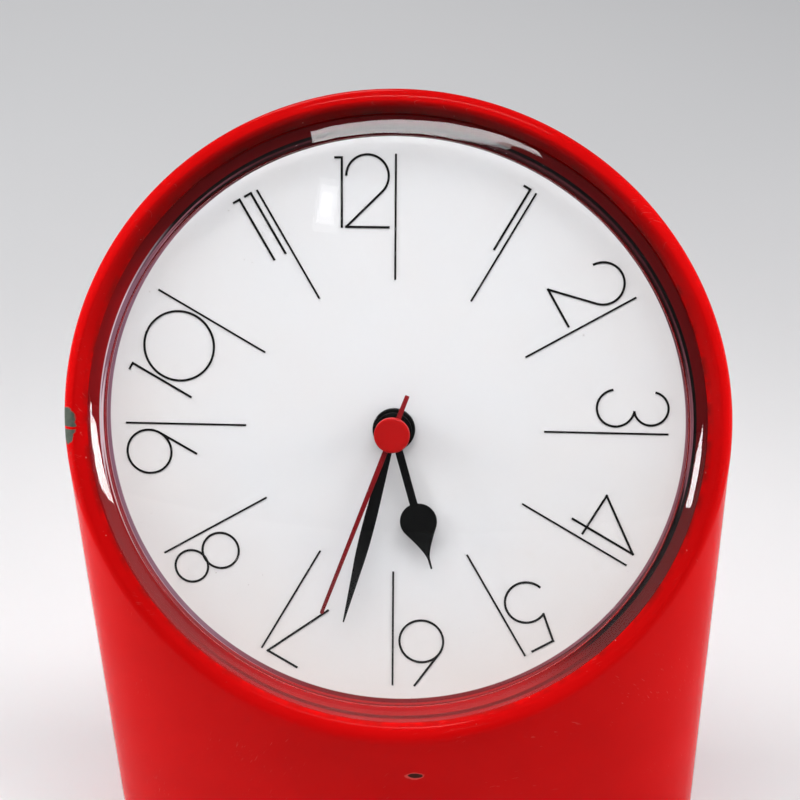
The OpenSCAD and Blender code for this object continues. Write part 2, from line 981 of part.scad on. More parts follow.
module battery_cell() {
    button_h = 1;
    color("#3c5a74")
        on_dial()
            along_cell() {
                rod(cell_r, -cell_l / 2, cell_l / 2 - button_h);
                rod(2.7, cell_l / 2 - button_h - 0.1, cell_l / 2);
            }
}

module contact_strip(side) {
    x = side * bay_in;
    block([min(x, x - side * contact_t), max(x, x - side * contact_t)],
          [bay_low + 3, bay_top - 3], [cell_at[2] - 5, front_in - 0.5]);
}

module contact_positive() {
    color("#cdb877")
        on_dial() {
            contact_strip(1);
            along_cell()
                rod(2, cell_l / 2, bay_in - contact_t / 2);
        }
}

// The spring contact is a pad with a stepped cone that bears on the flat end of the cell.
module contact_negative() {
    color("#cdb877")
        on_dial() {
            contact_strip(-1);
            along_cell()
                translate([0, 0, -bay_in + contact_t / 2])
                    cylinder(r1 = 5, r2 = 2.5, h = contact_room - contact_t / 2);
        }
}

module battery_door() {
    color("#cc070a")
        difference() {
            intersection() {
                difference() {
                    column(rim_r, 0, total_h);
                    column(rim_r - door_t, -over, total_h + over);
                }
                door_box(0, 0, face_d);
            }
            translate([0, ring_r * sin(face_tilt) + rim_r, door_z + door_h])
                rotate([90, 0, 0])
                    cylinder(r = 6, h = door_t, center = true);
        }
}

module base_plate() {
    color("#1e1e1e")
        difference() {
            column(shell_in - part_gap, foot_top, base_top);
            for (side = [-1, 1])
                translate([side * screw_x, 0, 0])
                    cylinder(r = screw_r + part_gap, h = base_top + over);
        }
}

module base_screws() {
    color("#b9bbbd")
        for (side = [-1, 1])
            translate([side * screw_x, 0, 0]) {
                rod(screw_r, foot_top - head_t / 2, base_top + screw_l);
                tube(head_r, 0.8, foot_top - head_t, foot_top);
            }
}

module rubber_feet() {
    color("#151515")
        for (x = [-1, 1], y = [-1, 1])
            translate([x * (face_d / 2 - foot_x), y * (ring_r * sin(face_tilt) + rim_r - foot_y), 0])
                cylinder(d = foot_d, h = foot_t);
}

body_shell();
crystal();
dial_plate();
dial_print();
centre_nut();
nut_washer();
hour_hand();
minute_hand();
second_hand();
second_hand_cap();
movement_front_case();
movement_rear_case();
movement_screws();
gear_plate();
hour_wheel();
cannon_pinion();
clutch_spring();
centre_wheel();
third_wheel();
second_wheel();
intermediate_wheel();
rotor();
stator_core();
coil_bobbin();
coil_winding();
circuit_board();
oscillator();
minute_wheel();
setting_knob();
battery_cell();
contact_positive();
contact_negative();
battery_door();
base_plate();
base_screws();
rubber_feet();
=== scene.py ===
import math

import bmesh
import bpy
import numpy as np
from mathutils import Matrix, Vector


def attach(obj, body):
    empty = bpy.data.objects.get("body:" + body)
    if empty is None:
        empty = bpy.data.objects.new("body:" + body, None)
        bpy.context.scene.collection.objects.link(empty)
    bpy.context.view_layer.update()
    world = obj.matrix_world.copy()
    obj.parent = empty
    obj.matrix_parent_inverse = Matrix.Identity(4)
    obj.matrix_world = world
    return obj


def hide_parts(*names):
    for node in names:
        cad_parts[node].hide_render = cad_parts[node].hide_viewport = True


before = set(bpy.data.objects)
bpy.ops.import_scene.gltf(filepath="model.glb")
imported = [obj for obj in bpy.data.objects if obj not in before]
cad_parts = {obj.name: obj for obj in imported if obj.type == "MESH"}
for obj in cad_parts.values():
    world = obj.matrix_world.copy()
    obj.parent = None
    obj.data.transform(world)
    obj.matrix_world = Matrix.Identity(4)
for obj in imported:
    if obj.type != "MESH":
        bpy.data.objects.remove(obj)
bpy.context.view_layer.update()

MM = 0.001
TURN = 2 * math.pi

# Sizes of the part, in millimetres.
TILT = math.radians(22)
RING_R, RIM_R, RIM_RISE = 67.4, 2.6, 1.4
RIM_Z = 182 - RING_R * math.cos(TILT) - RIM_R
BORE_R, BEVEL_LOW, SEAT_W, SEAT_BACK, DIAL_T = 65.05, 1.2, 6, -3.5, 1
WALL, FOOT_GAP = 2.5, 1
SHELL_IN = RIM_R - WALL
CRYSTAL_R, CRYSTAL_SIDE_H, SHOULDER_R = 64.85, 1.6, 3.5
CROWN_SLOPE, CROWN_T, CHAMFER, RIDGE_R = math.radians(12), 2.2, math.radians(30), 61.2
RIDGE_SOFT, EDGE_SOFT = 0.25, 0.3
LINE_END, LINE_L, LINE_W, NUMBER_LOW = 56.9, 25.65, 0.4, 42.0
NUMBER_H, STROKE_W, NUMBER_GAP, PRINT_T = 14.7, 0.47, 1.2, 0.12
HOUR_TURN, MINUTE_TURN, SECOND_TURN = 164.4, 193.9, 200.7
HOUR_RISE, MINUTE_RISE, SECOND_RISE, HAND_T, SECOND_T = 2.2, 4.05, 5.8, 0.5, 0.4
HOUR_L, DROP_R, MINUTE_L, MINUTE_W, SECOND_L, SECOND_TAIL = 30.8, 3.9, 42.6, 3, 41.7, 8.8
SECOND_W, STEM_W, CAP_D, CAP_T, NUT_D, NUT_LOW, NUT_T = 0.95, 1.65, 7.4, 1, 8.9, 0.3, 1.2
MINUTE_HOLE, HOUR_HOLE, SECOND_HOLE, NUT_HOLE = 1.57, 2.22, 0.77, 3.4
KNOB_AT, KNOB_D, KNOB_H, KNOB_TOP, KNOB_HOLE = (10.392, 6.0), 12, 6, -14.8, 9
KNOB_HOLE_Z = (-80, -14.2)
DOOR_W, DOOR_H, DOOR_Z, DOOR_T, DOOR_GAP, DOOR_LEDGE, DOOR_SEAT = 60, 34, 65, 1.2, 0.3, 3, 1.5
DOOR_ROUND, POCKET_ROUND, WAY_ROUND = 2.0, 2.3, 1.5
FOOT_X, FOOT_Y, FOOT_D, FOOT_T = 40, 13, 10, 2.5
SCREW_X, SCREW_HEAD_R, SCREW_HEAD_T = 57, 2.6, 1.4
SLOT_L, SLOT_W, SLOT_DEEP = 1.4, 0.28, 0.8

# The dial's frame: across, up to twelve and out of the dial.
COS, SIN = math.cos(TILT), math.sin(TILT)
ACROSS, UP, OUT = np.array([1.0, 0, 0]), np.array([0, SIN, COS]), np.array([0, -COS, SIN])
DIAL_AT = np.array([0, RIM_RISE * COS, RIM_Z - RIM_RISE * SIN])
DIAL_TURN = (math.pi / 2 - TILT, 0, 0)


def from_dial(p):
    """Points of the dial's frame in the part's frame."""
    p = np.asarray(p, float).reshape(-1, 3)
    return DIAL_AT + p[:, :1] * ACROSS + p[:, 1:2] * UP + p[:, 2:3] * OUT


def from_knob(p):
    """The same, for points measured from the knob's axis."""
    return from_dial(np.array(p) + (*KNOB_AT, 0))


def clock_turn(p, degrees):
    """Turns points of the dial's frame clockwise about the hand axis."""
    p = np.asarray(p, float).reshape(-1, 3)
    a = math.radians(degrees)
    x = p[:, 0] * math.cos(a) + p[:, 1] * math.sin(a)
    y = -p[:, 0] * math.sin(a) + p[:, 1] * math.cos(a)
    return np.stack([x, y, p[:, 2]], 1)


def arc(mid, r, start, stop, steps):
    a = np.radians(np.linspace(start, stop, steps + 1))
    return [(mid[0] + r * math.cos(x), mid[1] + r * math.sin(x)) for x in a]


def loop(mid, r, steps):
    """Points of a circle, without the first one again."""
    return arc(mid, r, 0, 360 - 360 / steps, steps - 1)


def bow(a, b, c, k):
    """A point on the curve from a to c that is drawn towards b."""
    return (1 - k) ** 2 * a + 2 * k * (1 - k) * b + k * k * c


def corner(before, at, after, steps=4):
    """Points of a rounded corner."""
    a, b, c = (np.array(x, float) for x in (before, at, after))
    return [tuple(bow(a, b, c, k)) for k in np.linspace(0, 1, steps + 1)]


# Node helpers for the finishes.
def new_finish(name, colour, rough, metal=0.0, **sockets):
    mat = bpy.data.materials.new(name)
    mat.use_nodes = True
    shader = mat.node_tree.nodes["Principled BSDF"]
    shader.inputs["Base Color"].default_value = (*colour, 1)
    shader.inputs["Roughness"].default_value = rough
    shader.inputs["Metallic"].default_value = metal
    for key, value in sockets.items():
        shader.inputs[key.replace("_", " ")].default_value = value
    mat.diffuse_color = (*colour, 1)
    return mat, mat.node_tree, shader


def node(tree, kind, inputs=None, **settings):
    made = tree.nodes.new(kind)
    for key, value in settings.items():
        setattr(made, key, value)
    for key, value in (inputs or {}).items():
        if isinstance(value, bpy.types.NodeSocket):
            tree.links.new(value, made.inputs[key])
        else:
            made.inputs[key].default_value = value
    return made


def place(tree, at=(0, 0, 0), turn=(0, 0, 0), size=(1, 1, 1)):
    """Object coordinates in a frame that is moved to a point in millimetres, turned and stretched."""
    coords = node(tree, "ShaderNodeTexCoord").outputs["Object"]
    spot = tuple(float(x) * MM for x in at)
    return node(tree, "ShaderNodeMapping",
                {"Vector": coords, "Location": spot, "Rotation": turn, "Scale": size},
                vector_type="TEXTURE").outputs["Vector"]


def split(tree, where):
    return node(tree, "ShaderNodeSeparateXYZ", {0: where}).outputs


def distance(tree, where):
    """How far a place is from the origin of its frame."""
    return node(tree, "ShaderNodeVectorMath", {0: where}, operation="LENGTH").outputs["Value"]


def dial_frame(tree):
    """Coordinates in the dial's frame, and the distance from the hand axis."""
    dial = split(tree, place(tree, DIAL_AT, DIAL_TURN))
    level = node(tree, "ShaderNodeCombineXYZ", {0: dial[0], 1: dial[1], 2: 0.0})
    return dial, distance(tree, level.outputs[0])


def speckle(tree, where, scale, detail=3.0, rough=0.55):
    made = node(tree, "ShaderNodeTexNoise",
                {"Vector": where, "Scale": scale, "Detail": detail, "Roughness": rough})
    return made.outputs["Fac"]


def ramp(tree, value, low, high, start=0.0, stop=1.0):
    """Runs from start to stop while the value runs from low to high."""
    made = node(tree, "ShaderNodeMapRange", {"Value": value, "From Min": low, "From Max": high,
                                             "To Min": start, "To Max": stop})
    return made.outputs["Result"]


def sums(tree, kind, a, b=0.0):
    return node(tree, "ShaderNodeMath", {0: a, 1: b}, operation=kind).outputs[0]


def tint(tree, share, a, b):
    """Colour a with a share of colour b."""
    made = node(tree, "ShaderNodeMix", data_type="RGBA")
    for key, value in ((0, share), (6, a), (7, b)):
        if isinstance(value, bpy.types.NodeSocket):
            tree.links.new(value, made.inputs[key])
        else:
            made.inputs[key].default_value = (*value, 1) if isinstance(value, tuple) else value
    return made.outputs[2]


def relief(tree, shader, height, depth, strength=1.0, under=None):
    made = node(tree, "ShaderNodeBump", {"Height": height, "Distance": depth, "Strength": strength})
    if under is not None:
        tree.links.new(under, made.inputs["Normal"])
    tree.links.new(made.outputs["Normal"], shader.inputs["Normal"])
    return made.outputs["Normal"]


def spot_mask(tree, at, turn, size, ragged, scale):
    """One on an oval spot with a ragged edge, and nothing elsewhere."""
    where = place(tree, at, turn, tuple(x * MM for x in size))
    far = distance(tree, where)
    edge = sums(tree, "MULTIPLY", sums(tree, "SUBTRACT", speckle(tree, place(tree), scale, 4), 0.5), ragged)
    return ramp(tree, sums(tree, "ADD", far, edge), 1.06, 0.94), where


def hairlines(tree, turn, stretch, scale, low, high):
    """Fine scratches that run along one direction."""
    where = place(tree, (0, 0, 0), turn, stretch)
    return ramp(tree, speckle(tree, where, scale, 1.0, 0.4), low, high)


# Worn spots of the body, by their middles and half sizes. The chip is placed in the dial's frame.
CHIP_AT, CHIP_SIZE = (-69.0, -0.6, 3.2), (1.9, 4.0, 2.2)
DENT_AT, DENT_SIZE = (5.0, -27.8, 43.5), (1.75, 2.4, 0.68)
LIP_AT, LIP_SIZE = (4.9, -27.8, 43.4), (2.25, 2.8, 1.0)


# Finishes.
def wear_and_shade(tree, flat, paint):
    """Adds the chip, the dent and its pale lip, painted shade inside the rim that deepens towards the top,
    and patchy dark brown and dust in the groove.
    """
    chip, chip_at = spot_mask(tree, from_dial([CHIP_AT])[0], DIAL_TURN, CHIP_SIZE, 0.9, 420)
    crack = sums(tree, "ABSOLUTE", sums(tree, "ADD", split(tree, chip_at)[1], 0.05))
    chip = sums(tree, "MULTIPLY", chip, ramp(tree, crack, 0.05, 0.09))
    dent, _ = spot_mask(tree, DENT_AT, (0, 0, 0), DENT_SIZE, 0.7, 600)
    lip, _ = spot_mask(tree, LIP_AT, (0, 0, 0), LIP_SIZE, 0.8, 600)
    grey = tint(tree, speckle(tree, flat, 900, 3), (0.05, 0.065, 0.05), (0.12, 0.14, 0.115))
    paint = tint(tree, chip, paint, grey)
    paint = tint(tree, sums(tree, "MULTIPLY", lip, 0.5), paint, (0.8, 0.16, 0.14))
    dark = tint(tree, speckle(tree, flat, 800, 2), (0.012, 0.004, 0.003), (0.09, 0.02, 0.012))
    paint = tint(tree, dent, paint, dark)
    dial, far = dial_frame(tree)
    # Painted shade: the inside of the rim is painted darker, up to 85 % towards the top, where less light
    # falls.
    painted_rim_shade = sums(tree, "MULTIPLY", ramp(tree, far, 0.0679, 0.0664), ramp(tree, dial[2], -0.001, 0.0005))
    painted_rim_shade = sums(tree, "MULTIPLY", painted_rim_shade, ramp(tree, dial[1], 0.015, 0.06, 0, 0.85))
    paint = tint(tree, painted_rim_shade, paint, (0.09, 0.0012, 0.0012))
    # Patchy dark brown at the foot of the rim's bevel, next to the crystal.
    ring = sums(tree, "MULTIPLY", ramp(tree, far, 0.0662, 0.0652), ramp(tree, dial[2], -0.0005, 0.0003))
    dark_foot_patches = sums(tree, "MULTIPLY", ring, ramp(tree, speckle(tree, flat, 260, 3), 0.4, 0.62))
    paint = tint(tree, sums(tree, "MULTIPLY", dark_foot_patches, 0.55), paint, (0.03, 0.012, 0.01))
    dust = ramp(tree, speckle(tree, flat, 1500, 1, 0.3), 0.79, 0.83)
    dust = sums(tree, "MULTIPLY", dust, ramp(tree, far, 0.0675, 0.0655))
    paint = tint(tree, sums(tree, "MULTIPLY", dust, 0.6), paint, (0.62, 0.4, 0.36))
    return paint, sums(tree, "ADD", chip, dent)


def red_lacquer(name, colour, deep, worn_and_shaded):
    """Glossy red with faint orange peel and hairlines, and on the body its worn spots and the painted shade
    inside the rim.
    """
    mat, tree, red = new_finish(name, colour, 0.2, Specular_IOR_Level=0.03)
    flat = place(tree)
    cloud = ramp(tree, speckle(tree, flat, 38, 3), 0.3, 0.7)
    paint = tint(tree, cloud, colour, deep)
    lines = sums(tree, "MULTIPLY", hairlines(tree, (0.2, 0.5, 0.3), (1, 0.05, 1), 420, 0.7, 0.76),
                 ramp(tree, speckle(tree, flat, 55, 2), 0.49, 0.63))
    lines = sums(tree, "MULTIPLY", lines, 0.35)
    paint = tint(tree, lines, paint, (0.75, 0.2, 0.18))
    peel = sums(tree, "ADD", speckle(tree, flat, 700, 2), sums(tree, "MULTIPLY", lines, -0.6))
    rough = ramp(tree, cloud, 0, 1, 0.05, 0.09)
    if worn_and_shaded:
        paint, damage = wear_and_shade(tree, flat, paint)
        rough = sums(tree, "ADD", rough, sums(tree, "MULTIPLY", damage, 0.4))
        peel = sums(tree, "ADD", peel, sums(tree, "MULTIPLY", damage, -6.0))
    tree.links.new(paint, red.inputs["Base Color"])
    tree.links.new(rough, red.inputs["Roughness"])
    relief(tree, red, peel, 0.00003, 0.35)
    return mat


def clear_crystal():
    """Clear acrylic with faint hairlines, which lets lamp light through."""
    mat, tree, clear = new_finish("clear_acrylic", (1, 1, 1), 0.015, Transmission_Weight=1.0, IOR=1.49,
                                  Specular_Tint=(0.33, 0.33, 0.33, 1))
    lines = hairlines(tree, (0.4, 0.2, 0.9), (1, 0.04, 1), 380, 0.72, 0.8)
    relief(tree, clear, lines, 0.00001, 0.25)
    _, far = dial_frame(tree)
    shade = tint(tree, ramp(tree, far, 0.0605, 0.062), (0.95, 0.95, 0.95), (0.75, 0.75, 0.75))
    open_air = node(tree, "ShaderNodeBsdfTransparent", {"Color": shade})
    rays = node(tree, "ShaderNodeLightPath")
    mix = node(tree, "ShaderNodeMixShader", {0: rays.outputs["Is Shadow Ray"]})
    tree.links.new(clear.outputs[0], mix.inputs[1])
    tree.links.new(open_air.outputs[0], mix.inputs[2])
    tree.links.new(mix.outputs[0], tree.nodes["Material Output"].inputs["Surface"])
    return mat


# Painted reflections, highlights and shade of the red rim and the crystal's edge, as rings on the dial's
# margin:
# where each ring begins and is full, and its colour at the left, the right, the top and the bottom.
BLACK, MAUVE = (0.004, 0.002, 0.002), (0.26, 0.13, 0.18)
WINE, DEEP_WINE = (0.12, 0.002, 0.003), (0.13, 0.002, 0.003)
PAINTED_REFLECTIONS = (
    (0.0602, 0.06035, MAUVE, (0.26, 0.1, 0.125), (0.05, 0.01, 0.014), (0.2, 0.007, 0.01)),
    (0.0609, 0.0610, MAUVE, BLACK, BLACK, (0.2, 0.007, 0.01)),
    (0.0613, 0.0614, (0.8, 0.66, 0.72), BLACK, BLACK, (0.55, 0.008, 0.01)),
    (0.0616, 0.0617, (0.3, 0.004, 0.006), WINE, WINE, (0.55, 0.008, 0.01)),
    (0.0629, 0.0632, (0.28, 0.004, 0.006), DEEP_WINE, DEEP_WINE, (0.22, 0.003, 0.003)),
    (0.0639, 0.0641, (0.3, 0.004, 0.006), WINE, WINE, (0.45, 0.006, 0.008)),
)
PAINTED_REFLECTIONS_AT = (0.15, 0.35, 0)


def white_dial():
    """Off-white card that is warmer and pinker towards the lower edge, with faint clouds, stains and
    specks, and painted reflections, highlights and shade of the rim and the crystal's edge on its margin.
    """
    cool, warm = (0.75, 0.755, 0.775), (0.76, 0.708, 0.685)
    mat, tree, card = new_finish("dial_card", cool, 0.5, Specular_IOR_Level=0.12)
    where = place(tree, DIAL_AT, DIAL_TURN)
    across, up, _ = split(tree, where)
    # Warmer and pinker towards the lower edge and in faint clouds.
    edge = sums(tree, "MULTIPLY", ramp(tree, distance(tree, where), 0.03, 0.064),
                ramp(tree, up, 0.05, -0.06))
    cloud = ramp(tree, speckle(tree, where, 45, 4), 0.35, 0.7)
    warm_share = sums(tree, "ADD", sums(tree, "MULTIPLY", edge, 0.9), sums(tree, "MULTIPLY", cloud, 0.25))
    paint = tint(tree, warm_share, cool, warm)
    stain = ramp(tree, speckle(tree, where, 130, 2), 0.66, 0.78, 0, 0.12)
    paint = tint(tree, stain, paint, (0.66, 0.62, 0.555))
    specks = ramp(tree, speckle(tree, where, 1300, 1, 0.3), 0.8, 0.84, 0, 0.5)
    paint = tint(tree, specks, paint, (0.35, 0.31, 0.29))
    far = distance(tree, place(tree, from_dial([PAINTED_REFLECTIONS_AT])[0], DIAL_TURN))
    right = sums(tree, "MAXIMUM", ramp(tree, across, -0.02, 0.02), ramp(tree, up, 0.026, 0.042))
    head = ramp(tree, sums(tree, "ADD", up, sums(tree, "MULTIPLY", across, 0.35)), 0.024, 0.045)
    foot = ramp(tree, up, -0.045, -0.058)
    # Paints the rings of reflection, highlight and shade over the dial's margin.
    for start, stop, left_edge, right_edge, top, bottom in PAINTED_REFLECTIONS:
        side = tint(tree, head, tint(tree, right, left_edge, right_edge), top)
        paint = tint(tree, ramp(tree, far, start, stop), paint, tint(tree, foot, side, bottom))
    tree.links.new(paint, card.inputs["Base Color"])
    tree.links.new(ramp(tree, cloud, 0, 1, 0.45, 0.56), card.inputs["Roughness"])
    relief(tree, card, speckle(tree, where, 2400, 2), 0.00001, 0.2)
    return mat


def grained(name, colour, other, rough, grain, depth, metal=0.0, cloud=60, **sockets):
    """A finish with soft colour clouds, a fine grain and uneven gloss."""
    mat, tree, shader = new_finish(name, colour, rough, metal, **sockets)
    where = place(tree)
    clouds = ramp(tree, speckle(tree, where, cloud, 3), 0.3, 0.7)
    fine = speckle(tree, where, grain, 3)
    tree.links.new(tint(tree, clouds, colour, other), shader.inputs["Base Color"])
    tree.links.new(ramp(tree, fine, 0.3, 0.7, rough * 0.85, rough * 1.2), shader.inputs["Roughness"])
    relief(tree, shader, fine, depth, 0.4)
    return mat


def brushed(name, colour, rough, turn=(0, 0, 0), grain=900):
    """Rolled or turned metal with fine lines along one way."""
    mat, tree, shader = new_finish(name, colour, rough, 1.0)
    where = place(tree, (0, 0, 0), turn, (1, 0.03, 1))
    lines = speckle(tree, where, grain, 3)
    dull = tuple(x * 0.82 for x in colour)
    tree.links.new(tint(tree, ramp(tree, lines, 0.35, 0.65), colour, dull), shader.inputs["Base Color"])
    tree.links.new(ramp(tree, lines, 0.3, 0.7, rough * 0.8, rough * 1.3), shader.inputs["Roughness"])
    relief(tree, shader, lines, 0.00001, 0.4)
    return mat


def cell_sleeve():
    """Printed sleeve with plain bands and bare metal ends, along the cell's length."""
    mat, tree, shader = new_finish("cell_sleeve", (0.05, 0.13, 0.24), 0.3)
    where = place(tree)
    along = split(tree, where)[0]
    band = ramp(tree, along, 0.0126, 0.0128)
    ends = sums(tree, "MAXIMUM", ramp(tree, along, 0.0238, 0.0240), ramp(tree, along, -0.0245, -0.0247))
    rub = ramp(tree, speckle(tree, where, 220, 4), 0.55, 0.75, 0, 0.3)
    paint = tint(tree, band, (0.03, 0.1, 0.22), (0.5, 0.3, 0.1))
    paint = tint(tree, rub, paint, (0.3, 0.34, 0.38))
    paint = tint(tree, ends, paint, (0.62, 0.62, 0.6))
    tree.links.new(paint, shader.inputs["Base Color"])
    tree.links.new(ends, shader.inputs["Metallic"])
    relief(tree, shader, speckle(tree, where, 700, 2), 0.00001, 0.3)
    return mat


FINISH = {
    "red_shell": red_lacquer("red_shell_lacquer", (0.64, 0.0035, 0.004), (0.58, 0.0028, 0.0032), True),
    "red_door": red_lacquer("red_door_lacquer", (0.62, 0.0035, 0.004), (0.56, 0.0028, 0.0032), False),
    "clear_crystal": clear_crystal(),
    "dial_white": white_dial(),
    "print_black": grained("dial_ink", (0.003, 0.003, 0.003), (0.008, 0.007, 0.007), 0.6, 3000, 0.000004,
                            Specular_IOR_Level=0.1),
    "black_metal": grained("black_enamel", (0.002, 0.002, 0.002), (0.005, 0.005, 0.005), 0.45, 1800,
                           0.000008, Specular_IOR_Level=0.1),
    "black_fibre": grained("black_fibre", (0.012, 0.012, 0.012), (0.02, 0.02, 0.02), 0.8, 1500, 0.00004),
    "dark_red": grained("second_hand_red", (0.2, 0.003, 0.005), (0.16, 0.002, 0.004), 0.45, 1800, 0.000008,
                         Specular_IOR_Level=0.2),
    "cap_red": grained("cap_red", (0.42, 0.003, 0.003), (0.37, 0.002, 0.002), 0.4, 1200, 0.00001,
                        Specular_IOR_Level=0.2),
    "black_plastic": grained("black_plastic", (0.014, 0.014, 0.014), (0.022, 0.022, 0.022), 0.5, 900,
                             0.00005),
    "steel": brushed("bright_steel", (0.56, 0.57, 0.58), 0.3),
    "grey_plastic": grained("grey_plastic", (0.25, 0.26, 0.25), (0.3, 0.31, 0.3), 0.5, 900, 0.00004),
    "ivory_plastic": grained("ivory_plastic", (0.78, 0.73, 0.6), (0.72, 0.67, 0.54), 0.4, 900, 0.00003),
    "brass": brushed("brass", (0.72, 0.5, 0.2), 0.3),
    "spring_steel": brushed("spring_steel", (0.5, 0.51, 0.54), 0.25),
    "magnet_grey": grained("magnet_grey", (0.09, 0.095, 0.1), (0.12, 0.125, 0.13), 0.55, 1500, 0.00003,
                           0.6),
    "copper": brushed("copper_wire", (0.62, 0.24, 0.1), 0.35, (0, 0, math.pi / 2), 2500),
    "board_green": grained("board_green", (0.02, 0.14, 0.05), (0.03, 0.18, 0.06), 0.4, 1500, 0.00002),
    "cell_blue": cell_sleeve(),
    "black_rubber": grained("black_rubber", (0.012, 0.012, 0.012), (0.02, 0.02, 0.02), 0.85, 1100, 0.00008),
}


# Mesh helpers.
def plain_mesh(obj):
    """What an object looks like after its modifiers, as a mesh."""
    bpy.context.view_layer.update()
    graph = bpy.context.evaluated_depsgraph_get()
    return bpy.data.meshes.new_from_object(obj.evaluated_get(graph), depsgraph=graph)


def settle(obj):
    """Turns an object with modifiers into a plain mesh."""
    mesh = plain_mesh(obj)
    obj.modifiers.clear()
    obj.data = mesh
    return obj


def added(name, data):
    obj = bpy.data.objects.new(name, data)
    bpy.context.scene.collection.objects.link(obj)
    return obj


def dress(obj, finish, sharp=35):
    """Merges doubles, turns the faces outwards and gives smooth shading with sharp edges."""
    form = bmesh.new()
    form.from_mesh(obj.data)
    bmesh.ops.remove_doubles(form, verts=form.verts, dist=2e-7)
    bmesh.ops.dissolve_degenerate(form, edges=form.edges, dist=1e-7)
    bmesh.ops.recalc_face_normals(form, faces=form.faces)
    form.to_mesh(obj.data)
    form.free()
    obj.data.materials.clear()
    obj.data.materials.append(finish)
    obj.data.shade_smooth()
    obj.data.set_sharp_from_angle(angle=math.radians(sharp))
    return obj


def solid(name, points, faces):
    mesh = bpy.data.meshes.new(name)
    mesh.from_pydata((np.asarray(points, float) * MM).tolist(), [], faces)
    return added(name, mesh)


def lattice(rows, columns, closed_rows):
    """Faces of rows of points, each row a closed ring."""
    faces = []
    for i in range(rows if closed_rows else rows - 1):
        for j in range(columns):
            k = (j + 1) % columns
            a, b = i * columns, (i + 1) % rows * columns
            faces.append((a + j, a + k, b + k, b + j))
    return faces


def turned(name, profile, steps, seat, finish, sharp=35):
    """A profile of radius and height turned about an axis. A radius of nothing closes an end."""
    a = np.linspace(0, TURN, steps, endpoint=False)
    rows = [np.stack([r * np.cos(a), r * np.sin(a), np.full(steps, h)], 1) for r, h in profile]
    ends = profile[0][0] < 1e-9 and profile[-1][0] < 1e-9
    faces = lattice(len(rows), steps, not ends)
    obj = solid(name, seat(np.concatenate(rows)), faces)
    return dress(obj, finish, sharp)


def prism(name, outline, low, high, seat):
    """A straight prism on a flat outline."""
    count = len(outline)
    points = [(*p, h) for h in (low, high) for p in outline]
    faces = lattice(2, count, False) + [tuple(range(count)), tuple(range(count, 2 * count))]
    return solid(name, seat(points), faces)


def cut(obj, *tools):
    for tool in tools:
        change = obj.modifiers.new("cut", "BOOLEAN")
        change.operation, change.solver, change.object = "DIFFERENCE", "EXACT", tool
    settle(obj)
    for tool in tools:
        bpy.data.objects.remove(tool)
    return obj


def soften(obj, width, segments=2, angle=30):
    change = obj.modifiers.new("soften", "BEVEL")
    change.width, change.segments, change.limit_method = width * MM, segments, "ANGLE"
    change.angle_limit = math.radians(angle)
    return settle(obj)


def joined(name, *objs):
    form = bmesh.new()
    for obj in objs:
        form.from_mesh(obj.data)
        bpy.data.objects.remove(obj)
    mesh = bpy.data.meshes.new(name)
    form.to_mesh(mesh)
    form.free()
    return added(name, mesh)


def handed(obj, body, slot, *nodes):
    """Puts a finished piece on its body and hides the nodes it stands for."""
    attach(obj, body)
    if nodes:
        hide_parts(*nodes)
    return obj


# Geometry Nodes trees.
class Maker:
    """A Geometry Nodes tree with named inputs."""

    def __init__(self, name, inputs):
        self.tree = bpy.data.node_groups.new(name, "GeometryNodeTree")
        self.tree.is_modifier = True
        face = self.tree.interface
        face.new_socket("Geometry", in_out="OUTPUT", socket_type="NodeSocketGeometry")
        self.keys = {}
        for key, kind in {"Geometry": "Geometry", **inputs}.items():
            socket = face.new_socket(key, in_out="INPUT", socket_type="NodeSocket" + kind)
            self.keys[key] = socket.identifier
        self.start = self.tree.nodes.new("NodeGroupInput")
        self.end = self.tree.nodes.new("NodeGroupOutput")

    def add(self, kind, inputs=None, **settings):
        return node(self.tree, kind, inputs, **settings)

    def given(self, key):
        return self.start.outputs[key]

    def copies(self, points, turn):
        """A copy of the given shape at each point."""
        shape = self.add("GeometryNodeObjectInfo", {"Object": self.given("Shape")})
        turn = self.add("FunctionNodeEulerToRotation", {0: turn})
        made = self.add("GeometryNodeInstanceOnPoints", {
            "Points": points, "Rotation": turn.outputs[0], "Instance": shape.outputs["Geometry"]})
        return made.outputs[0]

    def seated(self, shape):
        moved = self.add("GeometryNodeTransform", {
            "Geometry": shape, "Translation": self.given("Seat"), "Rotation": self.given("Seat Turn")})
        return moved.outputs[0]

    def close(self, shape):
        whole = self.add("GeometryNodeRealizeInstances", {"Geometry": shape})
        painted = self.add("GeometryNodeSetMaterial", {
            "Geometry": whole.outputs[0], "Material": self.given("Finish")})
        self.tree.links.new(painted.outputs[0], self.end.inputs[0])
        return self

    def attach(self, obj, **values):
        change = obj.modifiers.new("maker", "NODES")
        change.node_group = self.tree
        for key, value in values.items():
            change[self.keys[key.replace("_", " ")]] = value
        return obj

    def make(self, obj, **values):
        return settle(self.attach(obj, **values))


def ring_maker():
    """Copies of a shape round an axis, seated in the part."""
    maker = Maker("ring_of_copies", {"Shape": "Object", "Count": "Int", "Radius": "Float", "Seat": "Vector",
                                     "Seat Turn": "Vector", "Finish": "Material"})
    ring = maker.add("GeometryNodeMeshCircle", {
        "Vertices": maker.given("Count"), "Radius": maker.given("Radius")})
    step = maker.add("ShaderNodeMath", {0: TURN, 1: maker.given("Count")}, operation="DIVIDE")
    index = maker.add("GeometryNodeInputIndex")
    angle = maker.add("ShaderNodeMath", {0: index.outputs[0], 1: step.outputs[0]}, operation="MULTIPLY")
    euler = maker.add("ShaderNodeCombineXYZ", {2: angle.outputs[0]})
    return maker.close(maker.seated(maker.copies(ring.outputs[0], euler.outputs[0])))


def spot_maker():
    """A copy of a shape at each point of the piece."""
    maker = Maker("copies_on_points", {"Shape": "Object", "Shape Turn": "Vector", "Finish": "Material"})
    return maker.close(maker.copies(maker.given("Geometry"), maker.given("Shape Turn")))


